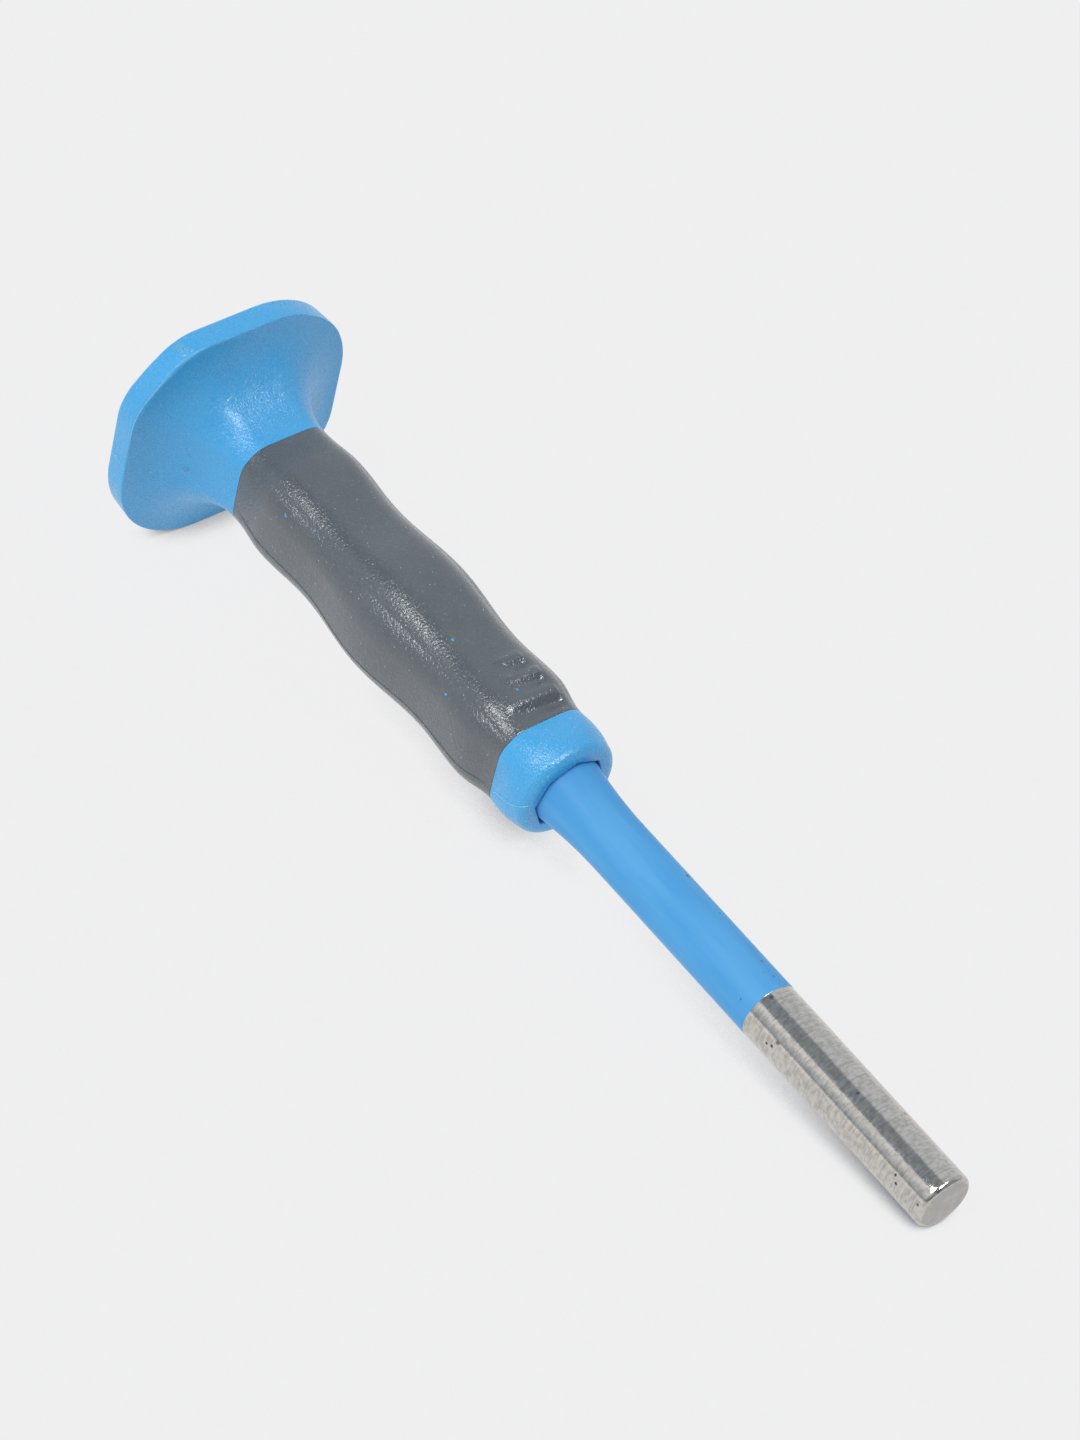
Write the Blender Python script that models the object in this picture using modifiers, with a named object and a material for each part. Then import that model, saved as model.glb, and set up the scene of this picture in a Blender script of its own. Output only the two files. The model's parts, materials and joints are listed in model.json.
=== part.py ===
"""Hand punch with a guarded soft grip, lying at rest on a level surface.

Every piece is modelled along the tool's own axis: station 0 is the striking face and stations grow
towards the working end. An empty then lays the whole tool on the ground plane, on the rim of its
guard and the lower edge of its tip. Sizes are in metres.
"""

import math

import bmesh
import bpy
from mathutils import Matrix, Vector

MM = 0.001

# Steel bar: octagonal stock, turned down to a round working end.
OVERALL_LENGTH = 300.0 * MM
STOCK_ACROSS_FLATS = 19.0 * MM
ROD_DIAMETER = 16.0 * MM
ROD_LENGTH = 125.0 * MM
FLARE_RADIUS = 139.0 * MM
TIP_EDGE_RADIUS = 1.0 * MM
STRIKING_FACE_DIAMETER = 15.0 * MM
HEAD_CHAMFER_LENGTH = 3.6 * MM
HEAD_STAND_OUT = 5.1 * MM

# Core tube: rigid, carries the three soft pieces.
CORE_DIAMETER = 23.0 * MM
FLANGE_DIAMETER = 38.0 * MM
FLANGE_THICKNESS = 2.5 * MM
FLANGE_DEPTH_IN_GUARD = 6.3 * MM

# Guard: a flared shield, its outline a square with two cut and two round corners.
GUARD_LENGTH = 27.6 * MM
RIM_HALF_WIDTH = 34.0 * MM
RIM_THICKNESS = 7.35 * MM
RIM_CORNER_CUT = 14.6 * MM
RIM_CUT_RADIUS = 16.0 * MM
RIM_ROUND_RADIUS = 28.7 * MM
RIM_EDGE_RADIUS = 1.0 * MM
DISH_RADIUS = 27.0 * MM
DISH_DEPTH = 3.5 * MM
DISH_OVERSHOOT = 1.1

# Grip sleeve: a rounded square section that swells three times along its length.
GRIP_LENGTH = 108.2 * MM
GUARD_END_HALF_WIDTH = 13.1 * MM
COLLAR_END_HALF_WIDTH = 12.8 * MM
END_CORNER_RADIUS = 6.6 * MM
SIDE_CROWN = 0.5 * MM
GROOVE_COUNT = 3
GROOVE_WIDTH = 3.6 * MM
GROOVE_DEPTH = 0.6 * MM
GROOVE_PITCH = 6.9 * MM
GROOVE_LENGTH = 6.5 * MM
GROOVE_GROWTH = 3.6 * MM
GROOVE_SETBACK = 3.6 * MM
GROOVE_SIDE_END = 8.0 * MM
GROOVE_SIDE_STEP = 0.7 * MM

# Collar: closes the grip at the front.
COLLAR_LENGTH = 13.5 * MM
COLLAR_FRONT_RADIUS = 14.8 * MM
COLLAR_ROLL_RADIUS = 3.0 * MM

# Gaps between pieces.
BORE_CLEARANCE = 0.3 * MM
SEAM_GAP = 0.3 * MM

# Swells and waists of the sleeve: share of its length from the guard, extra half width over the
# straight line between its two ends, and corner radius.
SLEEVE_STATIONS = (
    (0.00, 0.0 * MM, END_CORNER_RADIUS),
    (0.125, 1.15 * MM, 7.0 * MM),
    (0.28, 0.75 * MM, 8.0 * MM),
    (0.515, 2.55 * MM, 9.0 * MM),
    (0.74, 1.05 * MM, 8.0 * MM),
    (0.895, 1.55 * MM, 7.0 * MM),
    (1.00, 0.0 * MM, END_CORNER_RADIUS),
)

# Fineness of the round work.
TURNED_STEPS = 48
CORNER_STEPS = 5
FLAT_STEPS = 3
SLEEVE_RINGS = 34
FLARE_RINGS = 10
EDGE_RINGS = 2
DISH_RINGS = 5
BELL_RINGS = 6
ROLL_RINGS = 4
BAR_FLARE_RINGS = 10
GROOVE_STEPS = 24
MERGE_DISTANCE = 0.005 * MM

# Sizes that follow from the ones above.
STOCK_CORNER_RADIUS = STOCK_ACROSS_FLATS / 2 / math.cos(math.pi / 8)
GUARD_BACK = HEAD_STAND_OUT
RIM_FRONT = GUARD_BACK + RIM_THICKNESS
GUARD_SEAM = GUARD_BACK + GUARD_LENGTH
SLEEVE_START = GUARD_SEAM + SEAM_GAP
SLEEVE_END = SLEEVE_START + GRIP_LENGTH - 2 * SEAM_GAP
COLLAR_SEAM = SLEEVE_END + SEAM_GAP
COLLAR_FACE = COLLAR_SEAM + COLLAR_LENGTH
CORE_START = GUARD_BACK + DISH_DEPTH
CORE_END = COLLAR_SEAM - SEAM_GAP
FLANGE_START = GUARD_BACK + FLANGE_DEPTH_IN_GUARD
FLANGE_END = FLANGE_START + FLANGE_THICKNESS
FLARE_START = OVERALL_LENGTH - ROD_LENGTH
ROUND_CUT = 2.0 - math.sqrt(2.0)

LIE_ANGLE = math.atan2(
    RIM_HALF_WIDTH - ROD_DIAMETER / 2,
    (OVERALL_LENGTH - TIP_EDGE_RADIUS) - (RIM_FRONT - RIM_EDGE_RADIUS),
)

PARTS = bpy.data.collections.new("hand_punch")
CUTTERS = bpy.data.collections.new("cutters")


def clear_scene():
    """Removes every object, so that the script can be run again."""
    for obj in list(bpy.data.objects):
        bpy.data.objects.remove(obj, do_unlink=True)


def make_material(name, colour, roughness, metallic=0.0):
    """Returns a Principled material of one colour."""
    material = bpy.data.materials.new(name)
    material.use_nodes = True
    shader = material.node_tree.nodes["Principled BSDF"]
    shader.inputs["Base Color"].default_value = (*colour, 1.0)
    shader.inputs["Roughness"].default_value = roughness
    shader.inputs["Metallic"].default_value = metallic
    material.diffuse_color = (*colour, 1.0)
    return material


def place_along_axis(obj, holder):
    """Turns a piece that was built along its own Z so that it lies along the tool's X axis."""
    obj.rotation_euler = (0.0, math.pi / 2, 0.0)
    obj.parent = holder


def link_part(obj, material, holder):
    """Puts a finished piece in the parts' collection with its material."""
    PARTS.objects.link(obj)
    obj.data.materials.clear()
    obj.data.materials.append(material)
    place_along_axis(obj, holder)
    return obj


def link_cutter(obj, holder):
    """Puts a cutter in the cutters' collection, drawn as wire and left out of renders."""
    CUTTERS.objects.link(obj)
    obj.hide_render = True
    obj.display_type = "WIRE"
    place_along_axis(obj, holder)
    return obj


def add_boolean(obj, cutter, operation):
    """Adds an exact Boolean to a piece."""
    modifier = obj.modifiers.new(f"{operation.lower()}_{cutter.name}", "BOOLEAN")
    modifier.operation = operation
    modifier.solver = "EXACT"
    modifier.object = cutter
    return modifier


def turned_object(name, profile):
    """Makes a solid of revolution about Z.

    The profile lists (radius, height) from the highest point of the axis to its lowest.
    """
    mesh = bpy.data.meshes.new(name)
    points = [(radius, 0.0, height) for radius, height in profile]
    mesh.from_pydata(points, [(i, i + 1) for i in range(len(points) - 1)], [])
    obj = bpy.data.objects.new(name, mesh)
    screw = obj.modifiers.new("turn", "SCREW")
    screw.steps = TURNED_STEPS
    screw.render_steps = TURNED_STEPS
    screw.use_merge_vertices = True
    screw.merge_threshold = MERGE_DISTANCE
    return obj


def octagon_prism(name, across_flats, start, end):
    """Makes an octagonal prism along Z, with a corner facing each way square to the axis."""
    corner_radius = across_flats / 2 / math.cos(math.pi / 8)
    mesh = bpy.data.meshes.new(name)
    form = bmesh.new()
    bmesh.ops.create_cone(
        form,
        cap_ends=True,
        segments=8,
        radius1=corner_radius,
        radius2=corner_radius,
        depth=end - start,
        matrix=Matrix.Translation((0.0, 0.0, (start + end) / 2)),
    )
    form.to_mesh(mesh)
    form.free()
    return bpy.data.objects.new(name, mesh)


def section_ring(half_width, corners, crown=0.0):
    """Returns the points of a square section with its four corners cut or rounded.

    Each corner is (cut, radius): the cut takes that much off both sides, and both of its edges have
    the radius. A cut of ROUND_CUT times the radius is a plain round corner. The corners start
    at +X +Y and go round towards -X +Y. The crown is how far the middle of each side stands out.
    """
    ring = []
    for quarter, (cut, radius) in enumerate(corners):
        turn = Matrix.Rotation(quarter * math.pi / 2, 2)
        reach = half_width - cut - radius * math.tan(math.pi / 8)
        before = corners[quarter - 1]
        previous = before[0] + before[1] * math.tan(math.pi / 8) - half_width
        for step in range(1, FLAT_STEPS):
            along = previous + (reach - previous) * step / FLAT_STEPS
            ring.append(turn @ crowned(Vector((half_width, along)), crown))
        for centre, first in (((half_width - radius, reach), 0.0), ((reach, half_width - radius), 1.0)):
            for step in range(CORNER_STEPS + 1):
                angle = (first + step / CORNER_STEPS) * math.pi / 4
                spot = Vector((centre[0] + radius * math.cos(angle), centre[1] + radius * math.sin(angle)))
                ring.append(turn @ crowned(spot, crown))
    return ring


def crowned(spot, crown):
    """Returns a point of the +X side or its corner, pushed out by its share of the crown."""
    across, up = spot
    if abs(up) <= across:
        return Vector((across + crown * (1.0 - (up / across) ** 2), up))
    return Vector((across, up + math.copysign(crown * (1.0 - (across / up) ** 2), up)))


def round_corners(radius):
    """Returns four plain round corners."""
    return [(ROUND_CUT * radius, radius)] * 4


def lofted_object(name, rings):
    """Makes a closed solid through rings of (height, points), joined one to the next."""
    form = bmesh.new()
    loops = []
    for height, points in rings:
        loops.append([form.verts.new((point.x, point.y, height)) for point in points])
    for lower, upper in zip(loops, loops[1:]):
        for i in range(len(lower)):
            j = (i + 1) % len(lower)
            form.faces.new((lower[i], lower[j], upper[j], upper[i]))
    form.faces.new(list(reversed(loops[0])))
    form.faces.new(loops[-1])
    bmesh.ops.remove_doubles(form, verts=form.verts, dist=MERGE_DISTANCE)
    bmesh.ops.recalc_face_normals(form, faces=form.faces)
    mesh = bpy.data.meshes.new(name)
    form.to_mesh(mesh)
    form.free()
    return bpy.data.objects.new(name, mesh)


def shade(obj, angle):
    """Shades a piece smooth, with sharp edges past the angle."""
    obj.data.shade_smooth()
    obj.data.set_sharp_from_angle(angle=math.radians(angle))


def flare_profile():
    """Returns the bar's outline from the start of the round rod back to the full stock."""
    stock = STOCK_CORNER_RADIUS + BORE_CLEARANCE
    rise = stock - ROD_DIAMETER / 2
    sweep = math.acos(1.0 - rise / FLARE_RADIUS)
    points = []
    for step in range(BAR_FLARE_RINGS + 1):
        angle = sweep * step / BAR_FLARE_RINGS
        radius = ROD_DIAMETER / 2 + FLARE_RADIUS * (1.0 - math.cos(angle))
        points.append((radius, FLARE_START - FLARE_RADIUS * math.sin(angle)))
    return points


def tip_profile():
    """Returns the bar's outline over its flat tip and the rounded edge of it."""
    centre_radius = ROD_DIAMETER / 2 - TIP_EDGE_RADIUS
    points = [(0.0, OVERALL_LENGTH)]
    for step in range(CORNER_STEPS + 1):
        angle = math.pi / 2 * (1.0 - step / CORNER_STEPS)
        points.append((
            centre_radius + TIP_EDGE_RADIUS * math.cos(angle),
            OVERALL_LENGTH - TIP_EDGE_RADIUS * (1.0 - math.sin(angle)),
        ))
    return points


def build_punch_bar(holder, material):
    """Makes the one-piece steel bar: turned outline kept inside the octagonal stock."""
    stock = STOCK_CORNER_RADIUS + BORE_CLEARANCE
    profile = tip_profile() + flare_profile()
    profile += [
        (stock, HEAD_CHAMFER_LENGTH),
        (STRIKING_FACE_DIAMETER / 2, 0.0),
        (0.0, 0.0),
    ]
    bar = turned_object("punch_bar", profile)
    stock_form = octagon_prism(
        "bar_stock",
        STOCK_ACROSS_FLATS,
        -STOCK_ACROSS_FLATS,
        OVERALL_LENGTH + STOCK_ACROSS_FLATS,
    )
    link_cutter(stock_form, holder)
    add_boolean(bar, stock_form, "INTERSECT")
    return link_part(bar, material, holder)


def build_core_tube(holder, material):
    """Makes the rigid tube that keys on the octagonal stock, with the flange that stiffens the guard."""
    outer = CORE_DIAMETER / 2
    flange = FLANGE_DIAMETER / 2
    core = turned_object("core_tube", [
        (0.0, CORE_END),
        (outer, CORE_END),
        (outer, FLANGE_END),
        (flange, FLANGE_END),
        (flange, FLANGE_START),
        (outer, FLANGE_START),
        (outer, CORE_START),
        (0.0, CORE_START),
    ])
    bore = octagon_prism(
        "core_bore",
        STOCK_ACROSS_FLATS + 2 * BORE_CLEARANCE,
        CORE_START - CORE_DIAMETER,
        CORE_END + CORE_DIAMETER,
    )
    link_cutter(bore, holder)
    add_boolean(core, bore, "DIFFERENCE")
    return link_part(core, material, holder)


def guard_corners(share):
    """Returns the guard's corners at a share of the way out from its neck to its rim."""
    neck = (ROUND_CUT * END_CORNER_RADIUS, END_CORNER_RADIUS)
    round_rim = (ROUND_CUT * RIM_ROUND_RADIUS, RIM_ROUND_RADIUS)
    cut_rim = (RIM_CORNER_CUT, RIM_CUT_RADIUS)
    corners = []
    for rim in (cut_rim, round_rim, cut_rim, round_rim):
        corners.append(tuple(a + (b - a) * share for a, b in zip(neck, rim)))
    return corners


def inset_corners(corners, inset):
    """Returns corners for the same outline drawn in by an inset."""
    result = []
    for cut, radius in corners:
        smaller = max(radius - inset, inset)
        result.append((max(cut - ROUND_CUT * inset, ROUND_CUT * smaller), smaller))
    return result


def guard_rings():
    """Returns the guard's sections from its back, over the rim and down the flare to the neck."""
    rim = guard_corners(1.0)
    rings = []
    for step in range(EDGE_RINGS + 1):
        angle = math.pi / 2 * step / EDGE_RINGS
        inset = RIM_EDGE_RADIUS * (1.0 - math.sin(angle))
        height = GUARD_BACK + RIM_EDGE_RADIUS * (1.0 - math.cos(angle))
        rings.append((height, section_ring(RIM_HALF_WIDTH - inset, inset_corners(rim, inset))))
    for step in range(EDGE_RINGS + 1):
        angle = math.pi / 2 * step / EDGE_RINGS
        inset = RIM_EDGE_RADIUS * (1.0 - math.cos(angle))
        height = RIM_FRONT - RIM_EDGE_RADIUS * (1.0 - math.sin(angle))
        rings.append((height, section_ring(RIM_HALF_WIDTH - inset, inset_corners(rim, inset))))
    crest = RIM_HALF_WIDTH - RIM_EDGE_RADIUS
    for step in range(1, FLARE_RINGS + 1):
        angle = math.pi / 2 * (1.0 - step / FLARE_RINGS)
        share = 1.0 - math.cos(angle)
        half_width = GUARD_END_HALF_WIDTH + (crest - GUARD_END_HALF_WIDTH) * share
        height = GUARD_SEAM - (GUARD_SEAM - RIM_FRONT) * math.sin(angle)
        crown = SIDE_CROWN * (1.0 - share)
        rings.append((height, section_ring(half_width, guard_corners(share), crown)))
    return rings


def build_hand_guard(holder, material):
    """Makes the soft guard, with its bore, the pocket of the core's flange and its dished back."""
    guard = lofted_object("hand_guard", guard_rings())
    bore = CORE_DIAMETER / 2 + BORE_CLEARANCE
    pocket = FLANGE_DIAMETER / 2 + BORE_CLEARANCE
    bore_form = turned_object("guard_bore", [
        (0.0, GUARD_SEAM + bore),
        (bore, GUARD_SEAM + bore),
        (bore, FLANGE_END + BORE_CLEARANCE),
        (pocket, FLANGE_END + BORE_CLEARANCE),
        (pocket, FLANGE_START - BORE_CLEARANCE),
        (bore, FLANGE_START - BORE_CLEARANCE),
        (bore, GUARD_BACK - bore),
        (0.0, GUARD_BACK - bore),
    ])
    dish_curve = (DISH_RADIUS ** 2 + DISH_DEPTH ** 2) / (2 * DISH_DEPTH)
    sweep = math.asin(DISH_RADIUS / dish_curve) * DISH_OVERSHOOT
    dish = [(0.0, GUARD_BACK + DISH_DEPTH)]
    for step in range(1, DISH_RINGS + 1):
        angle = sweep * step / DISH_RINGS
        dish.append((
            dish_curve * math.sin(angle),
            GUARD_BACK + DISH_DEPTH - dish_curve * (1.0 - math.cos(angle)),
        ))
    dish.append((0.0, dish[-1][1]))
    dish_form = turned_object("guard_dish", dish)
    for form in (bore_form, dish_form):
        link_cutter(form, holder)
        add_boolean(guard, form, "DIFFERENCE")
    return link_part(guard, material, holder)


def blend(stations, share, column):
    """Returns a smooth value between stations, level at each of them."""
    for left, right in zip(stations, stations[1:]):
        if share <= right[0]:
            part = (share - left[0]) / (right[0] - left[0])
            ease = (1.0 - math.cos(math.pi * part)) / 2
            return left[column] + (right[column] - left[column]) * ease
    return stations[-1][column]


def sleeve_half_width(share):
    """Returns the sleeve's half width at a share of its length from the guard."""
    straight = GUARD_END_HALF_WIDTH + (COLLAR_END_HALF_WIDTH - GUARD_END_HALF_WIDTH) * share
    return straight + blend(SLEEVE_STATIONS, share, 1)


def build_grip_sleeve(holder, material):
    """Makes the soft sleeve, with its bore and the thumb grooves near the collar."""
    rings = []
    for step in range(SLEEVE_RINGS + 1):
        share = step / SLEEVE_RINGS
        height = SLEEVE_START + (SLEEVE_END - SLEEVE_START) * share
        corners = round_corners(blend(SLEEVE_STATIONS, share, 2))
        rings.append((height, section_ring(sleeve_half_width(share), corners, SIDE_CROWN)))
    sleeve = lofted_object("grip_sleeve", rings)
    bore = CORE_DIAMETER / 2 + BORE_CLEARANCE
    bore_form = turned_object("sleeve_bore", [
        (0.0, SLEEVE_END + bore),
        (bore, SLEEVE_END + bore),
        (bore, SLEEVE_START - bore),
        (0.0, SLEEVE_START - bore),
    ])
    link_cutter(bore_form, holder)
    add_boolean(sleeve, bore_form, "DIFFERENCE")
    for index in range(GROOVE_COUNT):
        centre = SLEEVE_END - GROOVE_SETBACK - GROOVE_PITCH * index
        share = (centre - SLEEVE_START) / (SLEEVE_END - SLEEVE_START)
        length = GROOVE_LENGTH + GROOVE_GROWTH * (GROOVE_COUNT - 1 - index)
        side = GROOVE_SIDE_END - GROOVE_SIDE_STEP * index - length / 2
        top = sleeve_half_width(share) + SIDE_CROWN
        groove = groove_form(f"thumb_groove_{index + 1}", centre, top, side, length)
        link_cutter(groove, holder)
        add_boolean(sleeve, groove, "DIFFERENCE")
    return link_part(sleeve, material, holder)


def groove_form(name, height, top, side, length):
    """Makes the cutter of one thumb groove, a shallow scoop across the sleeve's upper flat."""
    scoop = (GROOVE_WIDTH ** 2 / 4 + GROOVE_DEPTH ** 2) / (2 * GROOVE_DEPTH)
    mesh = bpy.data.meshes.new(name)
    form = bmesh.new()
    bmesh.ops.create_cone(
        form,
        cap_ends=True,
        segments=GROOVE_STEPS,
        radius1=scoop,
        radius2=scoop,
        depth=length,
    )
    bmesh.ops.rotate(form, verts=form.verts, matrix=Matrix.Rotation(math.pi / 2, 3, "X"))
    lift = Matrix.Translation((-(top + scoop - GROOVE_DEPTH), side, height))
    bmesh.ops.transform(form, verts=form.verts, matrix=lift)
    form.to_mesh(mesh)
    form.free()
    return bpy.data.objects.new(name, mesh)


def collar_rings():
    """Returns the collar's sections: square at the seam, round at the front, with a rolled edge."""
    rings = []
    roll_start = COLLAR_FACE - COLLAR_ROLL_RADIUS
    for step in range(BELL_RINGS + 1):
        share = step / BELL_RINGS
        swell = math.sin(share * math.pi / 2)
        half_width = COLLAR_END_HALF_WIDTH + (COLLAR_FRONT_RADIUS - COLLAR_END_HALF_WIDTH) * swell
        radius = END_CORNER_RADIUS + (COLLAR_FRONT_RADIUS - END_CORNER_RADIUS) * share
        height = COLLAR_SEAM + (roll_start - COLLAR_SEAM) * share
        crown = SIDE_CROWN * (1.0 - share)
        rings.append((height, section_ring(half_width, round_corners(min(radius, half_width)), crown)))
    for step in range(1, ROLL_RINGS + 1):
        angle = math.pi / 2 * step / ROLL_RINGS
        radius = COLLAR_FRONT_RADIUS - COLLAR_ROLL_RADIUS * (1.0 - math.cos(angle))
        height = roll_start + COLLAR_ROLL_RADIUS * math.sin(angle)
        rings.append((height, section_ring(radius, round_corners(radius))))
    return rings


def build_front_collar(holder, material):
    """Makes the soft collar with its octagonal bore."""
    collar = lofted_object("front_collar", collar_rings())
    bore = octagon_prism(
        "collar_bore",
        STOCK_ACROSS_FLATS + 2 * BORE_CLEARANCE,
        COLLAR_SEAM - COLLAR_LENGTH,
        COLLAR_FACE + COLLAR_LENGTH,
    )
    link_cutter(bore, holder)
    add_boolean(collar, bore, "DIFFERENCE")
    return link_part(collar, material, holder)


def make_holder():
    """Makes the empty that lays the tool on the ground, its box centred on the origin."""
    holder = bpy.data.objects.new("tool_axis", None)
    PARTS.objects.link(holder)
    rear = -STRIKING_FACE_DIAMETER / 2 * math.sin(LIE_ANGLE)
    front = OVERALL_LENGTH * math.cos(LIE_ANGLE)
    front += (ROD_DIAMETER / 2 - TIP_EDGE_RADIUS) * math.sin(LIE_ANGLE)
    lowest = (OVERALL_LENGTH - TIP_EDGE_RADIUS) * math.sin(LIE_ANGLE)
    lowest += (ROD_DIAMETER / 2 - TIP_EDGE_RADIUS) * math.cos(LIE_ANGLE) + TIP_EDGE_RADIUS
    holder.location = (-(rear + front) / 2, 0.0, lowest)
    holder.rotation_euler = (0.0, LIE_ANGLE, 0.0)
    return holder


def main():
    """Builds the punch."""
    clear_scene()
    bpy.context.scene.collection.children.link(PARTS)
    bpy.context.scene.collection.children.link(CUTTERS)
    steel = make_material("lacquered_tool_steel", (0.035, 0.25, 0.75), 0.3)
    core = make_material("rigid_polymer", (0.05, 0.05, 0.055), 0.5)
    blue = make_material("soft_blue_rubber", (0.04, 0.30, 0.78), 0.5)
    grey = make_material("soft_grey_rubber", (0.12, 0.13, 0.14), 0.55)
    holder = make_holder()
    shade(build_punch_bar(holder, steel), 30)
    shade(build_core_tube(holder, core), 30)
    shade(build_hand_guard(holder, blue), 35)
    shade(build_grip_sleeve(holder, grey), 35)
    shade(build_front_collar(holder, blue), 35)
    bpy.context.view_layer.update()


main()
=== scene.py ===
"""Looks of a guarded hand punch: skins, finishes, studio light and camera.

Shapes are worked out in the tool's own frame, in millimetres: x runs from the striking face to the
working end, y points to the tool's right and z to its top. ToolFrame carries them into the world.
"""

import json
import logging
import math
from dataclasses import dataclass, replace
from enum import Enum

import bpy
import numpy as np
from mathutils import Matrix, Vector


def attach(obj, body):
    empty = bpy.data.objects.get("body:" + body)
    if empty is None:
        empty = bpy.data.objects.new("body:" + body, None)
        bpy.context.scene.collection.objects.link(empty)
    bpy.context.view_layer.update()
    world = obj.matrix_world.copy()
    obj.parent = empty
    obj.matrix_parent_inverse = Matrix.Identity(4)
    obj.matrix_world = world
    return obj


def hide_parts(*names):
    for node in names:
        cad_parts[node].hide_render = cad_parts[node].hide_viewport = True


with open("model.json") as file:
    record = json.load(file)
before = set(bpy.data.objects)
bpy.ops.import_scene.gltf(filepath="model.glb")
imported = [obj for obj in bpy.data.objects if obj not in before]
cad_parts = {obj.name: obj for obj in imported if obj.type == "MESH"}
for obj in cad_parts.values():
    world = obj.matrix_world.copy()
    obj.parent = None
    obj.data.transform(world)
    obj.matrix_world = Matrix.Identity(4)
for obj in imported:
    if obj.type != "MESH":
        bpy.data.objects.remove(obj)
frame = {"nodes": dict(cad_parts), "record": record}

LOG = logging.getLogger("hand_punch")
MM = 0.001
AROUND = 256
TURN = 2.0 * math.pi
QUARTER = math.pi / 2
EIGHTH = math.pi / 4
DEGREES = 360.0
ROUND_CUT = 2.0 - math.sqrt(2.0)
SHARP_ANGLE = math.radians(32.0)
WHITE = 255.0
CURVE_START, CURVE_SLOPE, CURVE_SHIFT, CURVE_POWER = 0.04045, 12.92, 0.055, 2.4
NOISE_SPAN = (0.3, 0.7)
ANGLES = np.arange(AROUND) * 2.0 * math.pi / AROUND

Ring = tuple[np.ndarray, np.ndarray]
Place = tuple[float, float, float]
Span = tuple[float, float]
Colour = tuple[int, int, int]
Floats = tuple[float, ...]
Socket = bpy.types.NodeSocket
Material = bpy.types.Material
Piece = bpy.types.Object
SOCKET_KINDS = {float: "Float", int: "Int", tuple: "Vector", Material: "Material"}


class Body(Enum):
    """Bodies of the frame that a piece can ride on."""

    ROOT = "root"


class Slot(Enum):
    """Material slots of the record."""

    STEEL = "lacquered_steel"
    BLUE = "blue_rubber"
    GREY = "grey_rubber"


class Grain(Enum):
    """Textures that a soft moulding takes from its mould: their noise's detail and distortion."""

    SPARK = (2.0, 0.4)
    LEATHER = (1.0, 1.6)


def linear(colour: Colour) -> Floats:
    """Turns a display colour into the linear colour, with an alpha of one, that shaders take."""
    parts = [value / WHITE for value in colour]
    return (*(part / CURVE_SLOPE if part <= CURVE_START else
              ((part + CURVE_SHIFT) / (1.0 + CURVE_SHIFT)) ** CURVE_POWER for part in parts), 1.0)


def smoothstep(low: float, high: float, value: np.ndarray) -> np.ndarray:
    """Returns values eased from 0 at low to 1 at high."""
    part = np.clip((value - low) / (high - low), 0.0, 1.0)
    return part * part * (3.0 - 2.0 * part)


def quarter_turn(steps: int) -> np.ndarray:
    """Returns even angles over a right angle."""
    return np.linspace(0.0, QUARTER, steps)


def places_of(mesh: bpy.types.Mesh) -> np.ndarray:
    """Reads a mesh's vertices.

    Args:
        mesh: the mesh.

    Returns:
        Their places, one in each row.
    """
    spots = np.zeros(len(mesh.vertices) * 3)
    mesh.vertices.foreach_get("co", spots)
    return spots.reshape(-1, 3)


@dataclass(frozen=True)
class ToolFrame:
    """The tool's own frame, in millimetres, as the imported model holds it."""

    origin: Vector
    axis: Vector
    side: Vector
    up: Vector

    @classmethod
    def from_record(cls, record: dict) -> "ToolFrame":
        """Reads the frame from the record's striking face.

        Args:
            record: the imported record.

        Returns:
            The tool's frame.
        """
        mount = next(part for part in record["mounts"] if part["name"] == "striking_face")
        axis = -Vector(mount["axis"]).normalized()
        side = Vector((0.0, 1.0, 0.0))
        return cls(Vector(mount["pos_m"]), axis, side, axis.cross(side))

    def rotation(self) -> Matrix:
        """Returns the frame's rotation."""
        return Matrix((self.axis, self.side, self.up)).transposed()

    def matrix(self) -> Matrix:
        """Returns the matrix from tool millimetres to world metres."""
        return Matrix.Translation(self.origin) @ self.rotation().to_4x4() @ Matrix.Scale(MM, 4)

    def reach(self, node: str) -> Span:
        """Returns the first and last station of a node of the frame, in millimetres."""
        spots = places_of(frame["nodes"][node].data) - np.array(self.origin)
        stations = spots @ np.array(self.axis) / MM
        return float(stations.min()), float(stations.max())


TOOL = ToolFrame.from_record(frame["record"])


@dataclass(frozen=True)
class Corner:
    """A corner of a square section: what is cut off both sides, and the radius of both edges."""

    cut: float
    radius: float

    @classmethod
    def rounded(cls, radius: float) -> "Corner":
        """Returns a plain round corner."""
        return cls(ROUND_CUT * radius, radius)

    def toward(self, other: "Corner", share: float) -> "Corner":
        """Returns the corner that lies a share of the way to another."""
        cut = self.cut + (other.cut - self.cut) * share
        return Corner(cut, self.radius + (other.radius - self.radius) * share)

    def drawn_in(self, inset: float) -> "Corner":
        """Returns the corner that fits an outline drawn in by an inset."""
        radius = max(self.radius - inset, inset)
        return Corner(max(self.cut - ROUND_CUT * inset, ROUND_CUT * radius), radius)


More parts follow.
